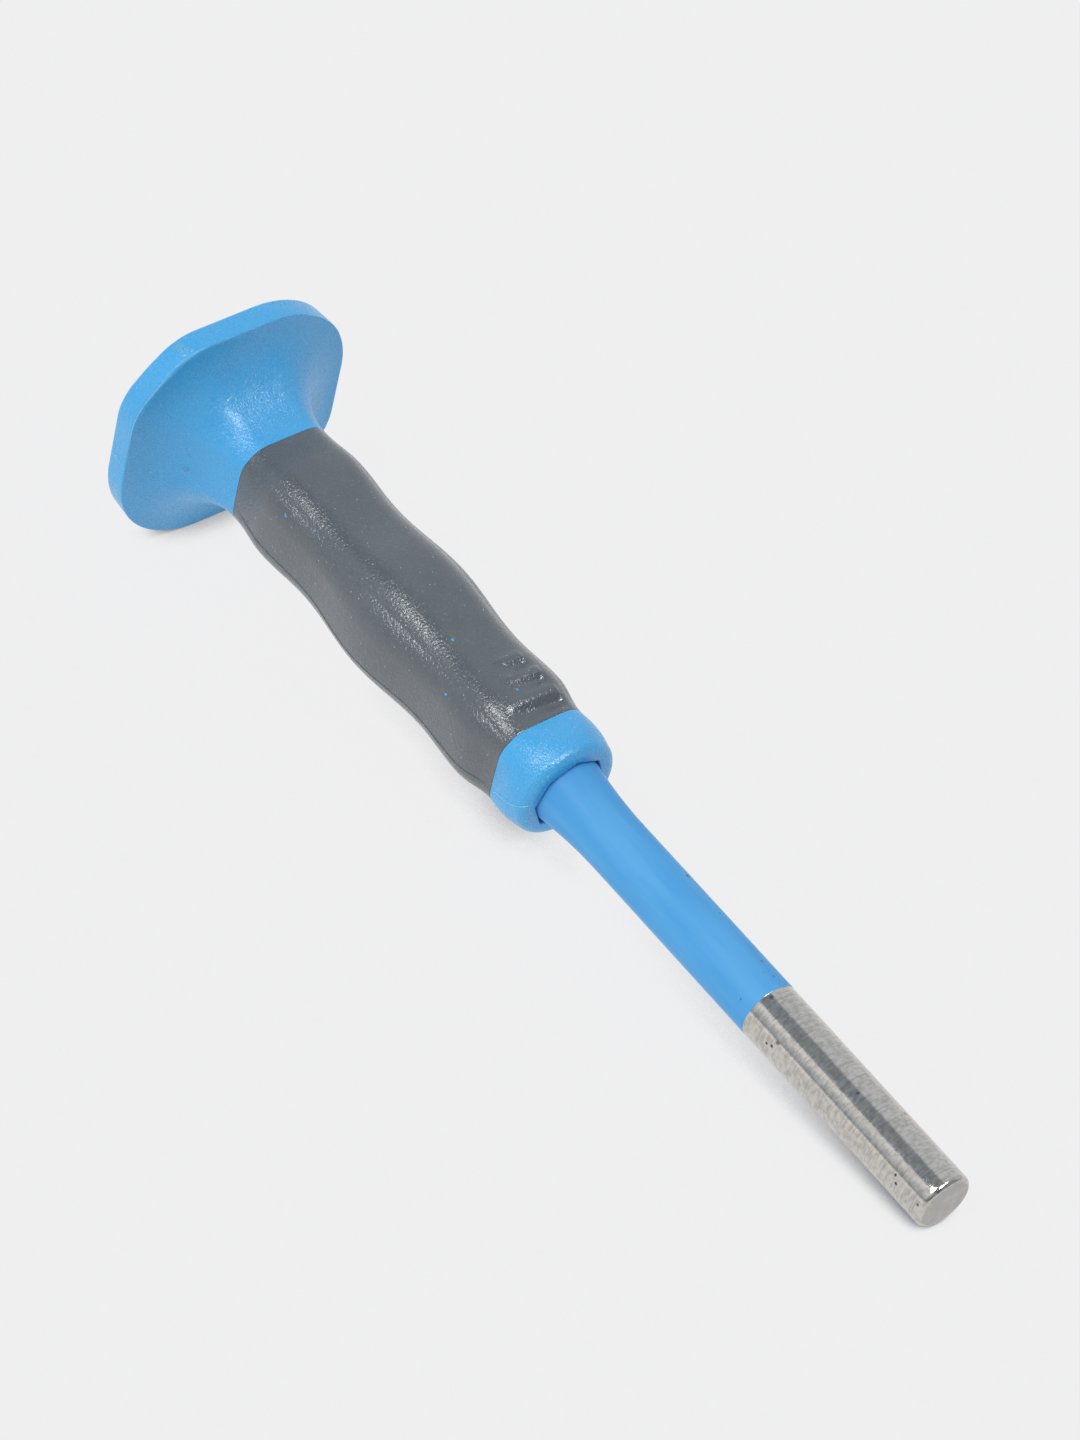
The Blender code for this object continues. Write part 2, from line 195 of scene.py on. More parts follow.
@dataclass(frozen=True)
class Section:
    """A square outline round the axis, with slightly crowned sides.

    The corners are lower right, upper right, upper left and lower left, seen from the tip.
    """

    half_width: float
    corners: tuple[Corner, ...]
    crown: float = 0.0
    flat_steps: int = 24
    arc_steps: int = 16

    def side(self, before: Corner, corner: Corner) -> np.ndarray:
        """Lists one side of the outline with the corner after it.

        Args:
            before: the corner that the side comes from.
            corner: the corner that it goes to.

        Returns:
            Points (outwards, along), as if the side faced the first direction.
        """
        bend = math.tan(EIGHTH / 2)
        width, radius = self.half_width, corner.radius
        inner, reach = width - radius, width - corner.cut - radius * bend
        flat = np.linspace(before.cut + before.radius * bend - width, reach, self.flat_steps)[1:-1]
        first = np.linspace(0.0, EIGHTH, self.arc_steps)
        last = first + EIGHTH
        across = (np.full(len(flat), width), inner + radius * np.cos(first),
                  reach + radius * np.cos(last))
        along = (flat, reach + radius * np.sin(first), inner + radius * np.sin(last))
        return np.column_stack([np.concatenate(across), np.concatenate(along)])

    def crowned(self, spots: np.ndarray) -> np.ndarray:
        """Pushes the middle of a side out.

        Args:
            spots: points (outwards, along).

        Returns:
            The moved points.
        """
        across, along = spots.T.copy()
        facing = np.abs(along) <= across
        beside = ~facing
        out = self.crown * (1.0 - (along[facing] / across[facing]) ** 2)
        up = self.crown * (1.0 - (across[beside] / along[beside]) ** 2)
        across[facing] += out
        along[beside] += np.sign(along[beside]) * up
        return np.column_stack([across, along])

    def radii(self) -> np.ndarray:
        """Measures the outline.

        Returns:
            Its distance from the axis at each angle round the tool.
        """
        angles, reaches = [], []
        for quarter, corner in enumerate(self.corners):
            across, along = self.crowned(self.side(self.corners[quarter - 1], corner)).T
            angles.append(math.pi - (np.arctan2(along, across) + quarter * QUARTER))
            reaches.append(np.hypot(across, along))
        return np.interp(ANGLES, np.concatenate(angles), np.concatenate(reaches), period=TURN)


def circle(radius: float) -> np.ndarray:
    """Returns the radii of a round section."""
    return np.full(AROUND, radius)


def octagon(across_flats: float) -> np.ndarray:
    """Returns the radii of an octagon with a corner at the tool's top."""
    return across_flats / 2 / np.cos(ANGLES % EIGHTH - EIGHTH / 2)


def ring(station: float | np.ndarray, radii: np.ndarray) -> Ring:
    """Pairs the stations of a ring's points with their radii."""
    return np.broadcast_to(np.asarray(station, float), radii.shape).copy(), radii


def place_on(rings: list[Ring], station: float, angle: float) -> Place:
    """Finds a place on a skin.

    Args:
        rings: the skin's rings, in order of their stations there.
        station: how far along the tool it is.
        angle: degrees from the tool's top towards its right.

    Returns:
        The place, in tool millimetres.
    """
    column = math.radians(angle % DEGREES) * AROUND / TURN
    before = int(column)
    share = column - before
    stations = [float(part[0][before]) for part in rings]
    radii = [part[1][before] * (1.0 - share) + part[1][(before + 1) % AROUND] * share for part in rings]
    radius = float(np.interp(station, stations, radii))
    turn = math.radians(angle)
    return station, radius * math.sin(turn), radius * math.cos(turn)


def signed_volume(mesh: bpy.types.Mesh) -> float:
    """Measures a closed mesh.

    Args:
        mesh: the mesh.

    Returns:
        Its volume, which is negative where its faces point inwards.
    """
    mesh.calc_loop_triangles()
    corners = np.zeros(len(mesh.loop_triangles) * 3, int)
    mesh.loop_triangles.foreach_get("vertices", corners)
    a, b, c = places_of(mesh)[corners.reshape(-1, 3)].transpose(1, 0, 2)
    return float(np.einsum("ij,ij->i", a, np.cross(b, c)).sum() / 6.0)


def add_piece(mesh: bpy.types.Mesh, slot: Slot, *nodes: str) -> Piece:
    """Adds a closed mesh to the scene as a piece of the tool, with its faces outwards.

    Args:
        mesh: the mesh, in tool millimetres.
        slot: the record's slot for its finish; not used.
        nodes: the nodes that it stands for.

    Returns:
        The piece.
    """
    if signed_volume(mesh) < 0.0:
        mesh.flip_normals()
    mesh.transform(TOOL.matrix())
    mesh.shade_smooth()
    mesh.set_sharp_from_angle(angle=SHARP_ANGLE)
    piece = bpy.data.objects.new(mesh.name, mesh)
    bpy.context.scene.collection.objects.link(piece)
    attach(piece, Body.ROOT.value)
    if nodes:
        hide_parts(*nodes)
    mesh.calc_loop_triangles()
    LOG.info("%s: %d triangles", piece.name, len(mesh.loop_triangles))
    return piece


def add_skin(name: str, rings: list[Ring], finish: Material, slot: Slot, node: str) -> Piece:
    """Joins rings of points into one closed skin, the last ring to the first.

    Args:
        name: the piece's name.
        rings: stations and radii of each ring's points.
        finish: its material.
        slot: the record's slot that it takes its finish from.
        node: the node that it stands for.

    Returns:
        The piece.
    """
    stations, radii = (np.array(part) for part in zip(*rings))
    spots = np.stack([stations, radii * np.sin(ANGLES), radii * np.cos(ANGLES)], axis=-1)
    rows = np.arange(len(rings))[:, None] * AROUND
    after = np.roll(rows, -1, axis=0)
    here = np.arange(AROUND)[None, :]
    there = np.roll(here, -1, axis=1)
    faces = np.stack([rows + here, rows + there, after + there, after + here], axis=-1)
    mesh = bpy.data.meshes.new(name)
    mesh.from_pydata(spots.reshape(-1, 3).tolist(), [], faces.reshape(-1, 4).tolist())
    mesh.validate()
    mesh.materials.append(finish)
    return add_piece(mesh, slot, node)


class Tree:
    """Short calls that add nodes to a tree and wire them."""

    def __init__(self, tree: bpy.types.NodeTree) -> None:
        """Keeps a shader or geometry tree."""
        self.tree = tree

    def node(self, kind: str, inputs: dict | None = None, **settings: object) -> bpy.types.Node:
        """Adds a node.

        Args:
            kind: the node's type.
            inputs: what to set or wire on its inputs, by name or number.
            settings: the node's properties.

        Returns:
            The node.
        """
        made = self.tree.nodes.new(kind)
        for key, value in settings.items():
            setattr(made, key, value)
        for key, value in (inputs or {}).items():
            self.feed(made.inputs[key], value)
        return made

    def out(self, kind: str, inputs: dict | None = None, **settings: object) -> Socket:
        """Adds a node in the same way, and returns its first output."""
        return self.node(kind, inputs, **settings).outputs[0]

    def feed(self, socket: Socket, value: object) -> None:
        """Wires an input to an output, or sets its value.

        Args:
            socket: the input.
            value: the output or the value.
        """
        if isinstance(value, Socket):
            self.tree.links.new(value, socket)
        else:
            socket.default_value = value

    def math(self, operation: str, *values: object) -> Socket:
        """Returns what a Math node makes of numbers or sockets."""
        return self.out("ShaderNodeMath", dict(enumerate(values)), operation=operation)

    def vector(self, operation: str, *values: object) -> Socket:
        """Returns the vector that a Vector Math node makes of vectors or sockets."""
        return self.out("ShaderNodeVectorMath", dict(enumerate(values)), operation=operation)

    def parts(self, vector: Socket) -> bpy.types.bpy_prop_collection:
        """Returns the three parts of a vector."""
        return self.node("ShaderNodeSeparateXYZ", {0: vector}).outputs

    def joined(self, *parts: object) -> Socket:
        """Returns the vector that three parts make."""
        return self.out("ShaderNodeCombineXYZ", dict(enumerate(parts)))

    def mix(self, share: object, first: object, second: object) -> Socket:
        """Returns a mixture of two colours, with so much of the second."""
        inputs = {0: share, 6: first, 7: second}
        return self.node("ShaderNodeMix", inputs, data_type="RGBA").outputs[2]

    def noise(self, vector: Socket, scale: float, detail: float, distortion: float = 0.0) -> Socket:
        """Returns a noise of so many cycles a millimetre."""
        inputs = {"Vector": vector, "Scale": scale, "Detail": detail, "Distortion": distortion}
        return self.out("ShaderNodeTexNoise", inputs)

    def span(self, value: object, low: object, high: object, start: float = 0.0,
             end: float = 1.0) -> Socket:
        """Maps a value smoothly, low to start and high to end, and returns it."""
        inputs = {0: value, 1: low, 2: high, 3: start, 4: end}
        return self.out("ShaderNodeMapRange", inputs, interpolation_type="SMOOTHSTEP")


class Paint(Tree):
    """A material's tree, with patterns measured in the tool's millimetres."""

    def __init__(self, name: str) -> None:
        """Starts a material.

        Args:
            name: the material's name.
        """
        self.material = bpy.data.materials.new(name)
        self.material.use_nodes = True
        super().__init__(self.material.node_tree)
        self.shader = self.tree.nodes["Principled BSDF"]
        self.spot = self.out("ShaderNodeMapping", {
            "Vector": self.node("ShaderNodeTexCoord").outputs["Object"],
            "Location": TOOL.origin,
            "Rotation": TOOL.rotation().to_euler(),
            "Scale": (MM, MM, MM),
        }, vector_type="TEXTURE")

    def stretched(self, scales: Place, detail: float) -> Socket:
        """Returns a noise with its own scale along each axis of the tool."""
        return self.noise(self.vector("MULTIPLY", self.spot, scales), 1.0, detail)

    def clouds(self, scale: float, detail: float, *span: float) -> Socket:
        """Returns a noise of a scale and detail, mapped low to start and high to end as span() does."""
        return self.span(self.noise(self.spot, scale, detail), *span)

    def waver(self, noise: Socket, middle: float, less: float, more: float) -> Socket:
        """Returns a value that strays from its middle with a noise."""
        return self.span(noise, *NOISE_SPAN, middle - less, middle + more)

    def bump(self, height: Socket, depth: float, **under: Socket) -> Socket:
        """Returns the normal of relief so many millimetres deep, on top of another Normal."""
        inputs = {"Height": height, "Distance": depth * MM, "Strength": 1.0, **under}
        return self.out("ShaderNodeBump", inputs)

    def set(self, **inputs: object) -> None:
        """Sets or wires inputs of the shader, named with underscores for spaces."""
        for key, value in inputs.items():
            self.feed(self.shader.inputs[key.replace("_", " ")], value)


@dataclass(frozen=True)
class Mark:
    """A scuff, smudge, chip or painted highlight at a place on a surface, in tool millimetres."""

    place: Place
    reach: float
    colour: Colour
    strength: float = 0.8
    broken: float = 0.0
    edge_waves: float = 1.6
    core_share: float = 0.45
    flake_scales: Place = (2.6, 0.9, 2.6)
    flake_detail: float = 3.0
    flake_edge: Span = (-0.05, 0.08)

    def mask(self, paint: Paint) -> Socket:
        """Masks the mark's surroundings.

        Args:
            paint: the material's tree.

        Returns:
            One at the mark, fading to zero at its ragged edge.
        """
        inputs = {"Vector": paint.spot, "Scale": self.edge_waves / self.reach}
        noise = paint.node("ShaderNodeTexNoise", inputs).outputs[1]
        shift = paint.vector("MULTIPLY", paint.vector("SUBTRACT", noise, (0.5,) * 3), (self.reach,) * 3)
        inputs = {0: paint.vector("ADD", paint.spot, shift), 1: self.place}
        away = paint.node("ShaderNodeVectorMath", inputs, operation="DISTANCE").outputs[1]
        return paint.span(away, self.reach, self.reach * self.core_share)

    def over(self, paint: Paint, colour: Socket) -> Socket:
        """Lays the mark over a colour.

        Args:
            paint: the material's tree.
            colour: the colour below.

        Returns:
            The marked colour.
        """
        mask = paint.math("MULTIPLY", self.mask(paint), self.strength)
        if self.broken:
            edge = (self.broken + self.flake_edge[0], self.broken + self.flake_edge[1])
            flakes = paint.span(paint.stretched(self.flake_scales, self.flake_detail), *edge)
            mask = paint.math("MULTIPLY", mask, flakes)
        return paint.mix(mask, colour, linear(self.colour))


@dataclass(frozen=True)
class SoftRubber:
    """Finish of a soft moulding."""

    name: str
    colour: Colour
    worn: Colour
    grain: Grain
    period: float
    depth: float
    roughness: float
    crest_glint_share: float
    speck_strength: float
    specular: float
    sheen: float
    marks: tuple[Mark, ...] = ()
    dust_and_glint_colour: Colour = (225, 232, 236)
    speck_spacing: float = 2.6
    speck_span: Span = (0.095, 0.05)
    crest_glint_span: Span = (0.52, 0.72)
    mottle_size: float = 9.0
    mottle_detail: float = 4.0
    mottle_span: Span = (0.35, 0.75)
    mottle_strength: float = 0.35
    rough_noise: Span = (0.6, 2.0)
    rough_stray: Span = (0.04, 0.05)
    sheen_roughness: float = 0.4

    def material(self) -> Material:
        """Builds the material.

        Returns:
            The material.
        """
        paint = Paint(self.name)
        mottle = paint.clouds(1.0 / self.mottle_size, self.mottle_detail, *self.mottle_span, 0.0,
                              self.mottle_strength)
        colour = paint.mix(mottle, linear(self.colour), linear(self.worn))
        relief = paint.noise(paint.spot, 1.0 / self.period, *self.grain.value)
        inputs = {"Vector": paint.spot, "Scale": 1.0 / self.speck_spacing, "Randomness": 1.0}
        speck = paint.node("ShaderNodeTexVoronoi", inputs).outputs["Distance"]
        # Lighter colour at the grain's crests is a painted highlight, the lamp's glints; the Voronoi specks
        # are dust, and on the grey sleeve a painted sparkle as well.
        crest_glints = paint.span(relief, *self.crest_glint_span, 0.0, self.crest_glint_share)
        dust_and_sparkle_specks = paint.span(speck, *self.speck_span, 0.0, self.speck_strength)
        for share in (crest_glints, dust_and_sparkle_specks):
            colour = paint.mix(share, colour, linear(self.dust_and_glint_colour))
        for mark in self.marks:
            colour = mark.over(paint, colour)
        rough = paint.waver(paint.noise(paint.spot, *self.rough_noise), self.roughness, *self.rough_stray)
        paint.set(Base_Color=colour, Roughness=rough, Normal=paint.bump(relief, self.depth),
                  Specular_IOR_Level=self.specular, Sheen_Weight=self.sheen,
                  Sheen_Roughness=self.sheen_roughness)
        return paint.material


@dataclass(frozen=True)
class Lacquer:
    """Paint on the bar, chipped here and there."""

    name: str = "bar_lacquer"
    colour: Colour = (94, 171, 227)
    deep: Colour = (82, 162, 222)
    streak_scales: Place = (0.03, 0.22, 0.22)
    streak_detail: float = 3.0
    specular: float = 0.0
    roughness: float = 0.4
    rough_noise: Span = (0.35, 3.0)
    rough_stray: Span = (0.03, 0.06)
    coat: float = 0.4
    coat_roughness: float = 0.4
    coat_ior: float = 1.4
    sheen: float = 0.35
    sheen_roughness: float = 0.25
    peel_period: float = 2.6
    peel_depth: float = 0.004
    chips: tuple[Mark, ...] = ()

    def material(self) -> Material:
        """Builds the material.

        Returns:
            The material.
        """
        paint = Paint(self.name)
        share = paint.span(paint.stretched(self.streak_scales, self.streak_detail), *NOISE_SPAN)
        colour = paint.mix(share, linear(self.colour), linear(self.deep))
        for chip in self.chips:
            colour = chip.over(paint, colour)
        peel = paint.bump(paint.noise(paint.spot, 1.0 / self.peel_period, 1.0), self.peel_depth)
        rough = paint.waver(paint.noise(paint.spot, *self.rough_noise), self.roughness, *self.rough_stray)
        paint.set(Base_Color=colour, Roughness=rough, Normal=peel, Specular_IOR_Level=self.specular,
                  Coat_Weight=self.coat, Coat_Roughness=self.coat_roughness, Coat_IOR=self.coat_ior,
                  Coat_Normal=peel, Sheen_Weight=self.sheen, Sheen_Roughness=self.sheen_roughness)
        return paint.material


@dataclass(frozen=True)
class GroundSteel:
    """Bare steel, ground round and round, with a matte end face."""

    name: str = "bare_steel"
    light: Colour = (209, 205, 198)
    dark: Colour = (180, 175, 169)
    tint_span: Span = (0.36, 0.62)
    roughness: float = 0.1
    rough_stray: Span = (0.015, 0.015)
    face_roughness: float = 0.42
    face_colour: Colour = (172, 171, 168)
    face: Span = (299.75, 299.97)
    face_clouds: Floats = (0.3, 4.0, 0.35, 0.65, 0.6, 1.0)
    scratch_scales: Place = (1.0 / 0.36, 0.16, 0.16)
    scratch_detail: float = 4.0
    scratch_depth: float = 0.001
    scratch_share: float = 0.4
    blotch_scales: Place = (1.1, 0.7, 0.7)
    blotch_detail: float = 5.0
    frost_period: float = 0.3
    frost_detail: float = 3.0
    frost_depth: float = 0.016
    nicks: tuple[Mark, ...] = ()

    def material(self) -> Material:
        """Builds the material.

        Returns:
            The material.
        """
        paint = Paint(self.name)
        scratches = paint.stretched(self.scratch_scales, self.scratch_detail)
        blotches = paint.stretched(self.blotch_scales, self.blotch_detail)
        share = paint.math("ADD", paint.math("MULTIPLY", scratches, self.scratch_share),
                           paint.math("MULTIPLY", blotches, 1.0 - self.scratch_share))
        colour = paint.mix(paint.span(share, *self.tint_span), linear(self.dark), linear(self.light))
        for nick in self.nicks:
            colour = nick.over(paint, colour)
        face = paint.span(paint.parts(paint.spot)[0], *self.face)
        cloudy = paint.math("MULTIPLY", face, paint.clouds(*self.face_clouds))
        colour = paint.mix(cloudy, colour, linear(self.face_colour))
        duller = paint.math("MULTIPLY", face, self.face_roughness - self.roughness)
        rough = paint.math("ADD", paint.waver(blotches, self.roughness, *self.rough_stray), duller)
        frost = paint.noise(paint.spot, 1.0 / self.frost_period, self.frost_detail)
        ground = paint.bump(scratches, self.scratch_depth)
        paint.set(Base_Color=colour, Roughness=rough, Metallic=1.0,
                  Normal=paint.bump(frost, self.frost_depth, Normal=ground))
        return paint.material


@dataclass(frozen=True)
class MouldedPolymer:
    """Finish of the rigid tube inside the grip."""

    name: str = "core_polymer"
    colour: Colour = (52, 52, 54)
    worn: Colour = (70, 70, 72)
    wear_clouds: Floats = (0.2, 3.0, 0.35, 0.7)
    roughness: float = 0.5
    rough_stray: Span = (0.05, 0.08)
    grain_noise: Span = (3.0, 3.0)
    grain_depth: float = 0.02

    def material(self) -> Material:
        """Builds the material.

        Returns:
            The material.
        """
        paint = Paint(self.name)
        grain = paint.noise(paint.spot, *self.grain_noise)
        share = paint.clouds(*self.wear_clouds)
        paint.set(Base_Color=paint.mix(share, linear(self.colour), linear(self.worn)),
                  Roughness=paint.waver(grain, self.roughness, *self.rough_stray),
                  Normal=paint.bump(grain, self.grain_depth))
        return paint.material


class PathTree(Tree):
    """A geometry tree that works on a path of points."""

    def __init__(self, name: str, values: dict[str, object]) -> None:
        """Starts the tree.

        Args:
            name: its name.
            values: its inputs after the path, by name.
        """
        super().__init__(bpy.data.node_groups.new(name, "GeometryNodeTree"))
        self.values = values
        sockets = self.tree.interface
        kinds = {label: SOCKET_KINDS[type(value)] for label, value in values.items()}
        for label, kind in {"Geometry": "Geometry", **kinds}.items():
            sockets.new_socket(label, in_out="INPUT", socket_type=f"NodeSocket{kind}")
        sockets.new_socket("Geometry", in_out="OUTPUT", socket_type="NodeSocketGeometry")
        self.given = self.node("NodeGroupInput").outputs

    def position(self) -> Socket:
        """Returns where the geometry's own points lie."""
        return self.out("GeometryNodeInputPosition")

    def close(self, geometry: Socket, finishes: dict[str, dict]) -> None:
        """Ends the tree with real meshes that carry materials.

        Args:
            geometry: what the tree made.
            finishes: the given materials by name, each with the Selection that it goes on, if any.
        """
        dressed = self.out("GeometryNodeRealizeInstances", {0: geometry})
        for finish, selection in finishes.items():
            inputs = {"Geometry": dressed, "Material": self.given[finish], **selection}
            dressed = self.out("GeometryNodeSetMaterial", inputs)
        self.node("NodeGroupOutput", {0: dressed})

    def bake(self, name: str, spots: np.ndarray) -> bpy.types.Mesh:
        """Runs the tree on a path and keeps the result as a plain mesh.

        Args:
            name: the mesh's name.
            spots: the path's points, in tool millimetres.

        Returns:
            The mesh.
        """
        path = bpy.data.meshes.new(name)
        path.from_pydata(spots.tolist(), [(i, i + 1) for i in range(len(spots) - 1)], [])
        obj = bpy.data.objects.new(name, path)
        modifier = obj.modifiers.new(self.tree.name, "NODES")
        modifier.node_group = self.tree
        for item in self.tree.interface.items_tree:
            if item.item_type == "SOCKET" and item.in_out == "INPUT" and item.name in self.values:
                modifier[item.identifier] = self.values[item.name]
        bpy.context.scene.collection.objects.link(obj)
        graph = bpy.context.evaluated_depsgraph_get()
        graph.update()
        mesh = bpy.data.meshes.new_from_object(obj.evaluated_get(graph))
        bpy.data.objects.remove(obj)
        bpy.data.meshes.remove(path)
        mesh.name = name
        return mesh


@dataclass(frozen=True)
class Flash:
    """A thin raised line that the joint of a mould leaves on a soft moulding."""

    name: str
    radius: float
    fade: float = 0.05
    thin_end: float = 0.1
    sides: int = 6

    def tree(self, finish: Material) -> PathTree:
        """Builds the tree that sweeps a thin round line along a path and tapers its ends.

        Args:
            finish: the line's material.

        Returns:
            The tree.
        """
        tree = PathTree(self.name, {"Radius": self.radius, "Fade": self.fade, "Thin End": self.thin_end,
                                    "Sides": self.sides, "Finish": finish})
        given = tree.given
        share = tree.node("GeometryNodeSplineParameter").outputs["Factor"]
        end = tree.math("MINIMUM", share, tree.math("SUBTRACT", 1.0, share))
        profile = {"Resolution": given["Sides"], "Radius": given["Radius"]}
        tree.close(tree.out("GeometryNodeCurveToMesh", {
            "Curve": tree.out("GeometryNodeMeshToCurve", {0: given["Geometry"]}),
            "Profile Curve": tree.out("GeometryNodeCurvePrimitiveCircle", profile),
            "Scale": tree.span(end, 0.0, given["Fade"], given["Thin End"], 1.0),
            "Fill Caps": True,
        }), {"Finish": {}})
        return tree

    def build(self, path: list[Place] | np.ndarray, finish: Material, slot: Slot) -> Piece:
        """Builds the line.

        Args:
            path: the points that it follows, in tool millimetres.
            finish: its material.
            slot: the record's slot that it takes its finish from.

        Returns:
            The piece.
        """
        return add_piece(self.tree(finish).bake(self.name, np.array(path)), slot)


@dataclass(frozen=True)
class Flecks:
    """Flecks of one moulding's colour that stick to another."""

    name: str
    places: tuple[Place, ...]
    size: float = 0.4
    flatness: float = 0.5
    least: Place = (0.6, 0.6, 0.8)
    most: Place = (1.5, 1.2, 1.0)
    seed: int = 3

    def tree(self, finish: Material) -> PathTree:
        """Builds the tree that sets a flat, uneven grain on each point.

        Args:
            finish: the grains' material.

        Returns:
            The tree.
        """
        tree = PathTree(self.name, {"Size": self.size, "Flatness": self.flatness, "Least": self.least,
                                    "Most": self.most, "Seed": self.seed, "Finish": finish})
        given = tree.given
        place = tree.parts(tree.position())
        outwards = {"Vector": tree.joined(0.0, place[1], place[2])}
        spread = {0: given["Least"], 1: given["Most"], "Seed": given["Seed"]}
        thickness = tree.math("MULTIPLY", given["Size"], given["Flatness"])
        size = tree.joined(given["Size"], given["Size"], thickness)
        factor = tree.out("FunctionNodeRandomValue", spread, data_type="FLOAT_VECTOR")
        tree.close(tree.out("GeometryNodeInstanceOnPoints", {
            "Points": tree.out("GeometryNodeMeshToPoints", {0: given["Geometry"]}),
            "Instance": tree.out("GeometryNodeMeshIcoSphere", {"Radius": 1.0, "Subdivisions": 2}),
            "Rotation": tree.out("FunctionNodeAlignRotationToVector", outwards, axis="Z"),
            "Scale": tree.vector("MULTIPLY", factor, size),
        }), {"Finish": {}})
        return tree

    def build(self, rings: list[Ring], finish: Material, slot: Slot) -> Piece:
        """Builds the flecks.

        Args:
            rings: the skin that they stick to.
            finish: their material.
            slot: the record's slot that they take their finish from.

        Returns:
            The piece.
        """
        spots = [place_on(rings, x, math.degrees(math.atan2(y, z))) for x, y, z in self.places]
        return add_piece(self.tree(finish).bake(self.name, np.array(spots)), slot)


@dataclass
class Guard:
    """The soft guard: a flared shield round the struck end, dished at its back."""

    rim_half_width: float = 33.9
    rim_thickness: float = 7.35
    back_half_width: float = 33.4
    cut: Corner = Corner(14.6, 16.0)
    rounded: Corner = Corner.rounded(28.7)
    back_edge: float = 1.0
    crisp_edge: float = 0.5
    soft_edge: float = 1.1
    soft_direction: float = math.radians(315.0)
    soft_span: Span = (0.55, 0.9)
    soft_reach: Span = (0.5, 1.0)
    neck_half_width: float = 13.1
    neck_corner: Corner = Corner.rounded(6.6)
    crown: float = 0.5
    dish_radius: float = 27.0
    dish_depth: float = 3.5
    bore_radius: float = 11.8
    pocket_radius: float = 19.3
    pocket: Span = (6.0, 9.1)
    lip_radius: float = 0.12
    lip_steps: int = 4
    edge_steps: int = 8
    flare_steps: int = 56
    dish_steps: int = 20
    crease_arcs: tuple[Span, ...] = ((281.0, 322.0), (28.0, 62.0))
    crease_steps: int = 60
    crease_line: Flash = Flash("guard_crease_line", 0.14, 0.2)
    side_line: Flash = Flash("guard_side_line", 0.13)
    side_steps: int = 12
    side_angle: float = 270.0

    def __post_init__(self) -> None:
        """Finds where the guard stands along the tool."""
        self.back, self.seam = TOOL.reach("hand_guard")
        self.rim_front = self.back + self.rim_thickness

    def corners(self, share: float) -> tuple[Corner, ...]:
        """Returns the corners at a share of the way out from the neck to the rim."""
        return tuple(self.neck_corner.toward(corner, share) for corner in (self.cut, self.rounded)) * 2

    def front_edge(self) -> np.ndarray:
        """Returns the radius of the rim's front edge, which is soft where the corners are cut."""
        share = smoothstep(*self.soft_span, np.cos(2.0 * (ANGLES - self.soft_direction)))
        return self.crisp_edge + (self.soft_edge - self.crisp_edge) * share

    def rim_outline(self, inset: float | np.ndarray) -> np.ndarray:
        """Measures the rim at its front.

        Args:
            inset: how far it is drawn in, which may vary round it.

        Returns:
            Its radii.
        """
        corners = self.corners(1.0)
        smaller = tuple(corner.drawn_in(self.soft_edge) for corner in corners)
        plain = Section(self.rim_half_width, corners).radii()
        drawn = Section(self.rim_half_width - self.soft_edge, smaller).radii()
        return plain + (drawn - plain) * inset / self.soft_edge

    def rim_ring(self, inset: float | np.ndarray, station: float | np.ndarray) -> Ring:
        """Returns a drawn-in ring of the rim, which tapers a little towards its back."""
        taper = (1.0 - self.back_half_width / self.rim_half_width) / self.rim_thickness
        return ring(station, self.rim_outline(inset) * (1.0 - taper * (self.rim_front - station)))

    def front_ring(self, angle: float) -> Ring:
        """Returns a ring of the rounded front edge, from the side at 0 to the front at a right angle."""
        edge = self.front_edge()
        return self.rim_ring(edge * (1.0 - math.cos(angle)), self.rim_front - edge * (1.0 - math.sin(angle)))

    def flare_ring(self, angle: float) -> Ring:
        """Shapes a ring of the flare.

        Args:
            angle: from the neck at 0 to the rim at a right angle.

        Returns:
            The ring.
        """
        share = 1.0 - math.cos(angle)
        crest = self.rim_half_width - self.crisp_edge
        half_width = self.neck_half_width + (crest - self.neck_half_width) * share
        station = self.seam - (self.seam - self.rim_front) * math.sin(angle)
        section = Section(half_width, self.corners(share), self.crown * (1.0 - share))
        softer = self.rim_outline(self.front_edge()) - self.rim_outline(self.crisp_edge)
        return ring(station, section.radii() + softer * smoothstep(*self.soft_reach, np.array(share)))

    def outside(self) -> list[Ring]:
        """Shapes the outside.

        Returns:
            The rings from the rim's back edge down the flare to the neck.
        """
        edge, lip = self.back_edge, self.lip_radius
        rings = [self.rim_ring(edge * (1.0 - math.sin(angle)), self.back + edge * (1.0 - math.cos(angle)))
                 for angle in quarter_turn(self.edge_steps)]
        rings += [self.front_ring(angle) for angle in quarter_turn(self.edge_steps)]
        rings += [self.flare_ring(angle) for angle in quarter_turn(self.flare_steps)[-2:0:-1]]
        stations, neck = self.flare_ring(0.0)
        rings += [ring(stations[0] - lip * (1.0 - math.sin(angle)), neck - lip * (1.0 - math.cos(angle)))
                  for angle in quarter_turn(self.lip_steps)]
        return rings

    def inside(self) -> list[Ring]:
        """Shapes the bore and its pocket, and the dish.

        Returns:
            The rings from the neck to the back.
        """
        first, last = (self.back + depth for depth in self.pocket)
        bore, pocket = circle(self.bore_radius), circle(self.pocket_radius)
        rings = [ring(self.seam, bore), ring(last, bore), ring(last, pocket), ring(first, pocket),
                 ring(first, bore)]
        curve = (self.dish_radius ** 2 + self.dish_depth ** 2) / (2 * self.dish_depth)
        for radius in np.linspace(self.bore_radius, self.dish_radius, self.dish_steps):
            fall = curve - math.sqrt(curve ** 2 - radius ** 2)
            rings.append(ring(self.back + self.dish_depth - fall, circle(radius)))
        return rings

    def build(self, finish: Material) -> Piece:
        """Builds the guard with its finish, and returns it."""
        return add_skin("guard_skin", self.outside() + self.inside(), finish, Slot.BLUE, "hand_guard")

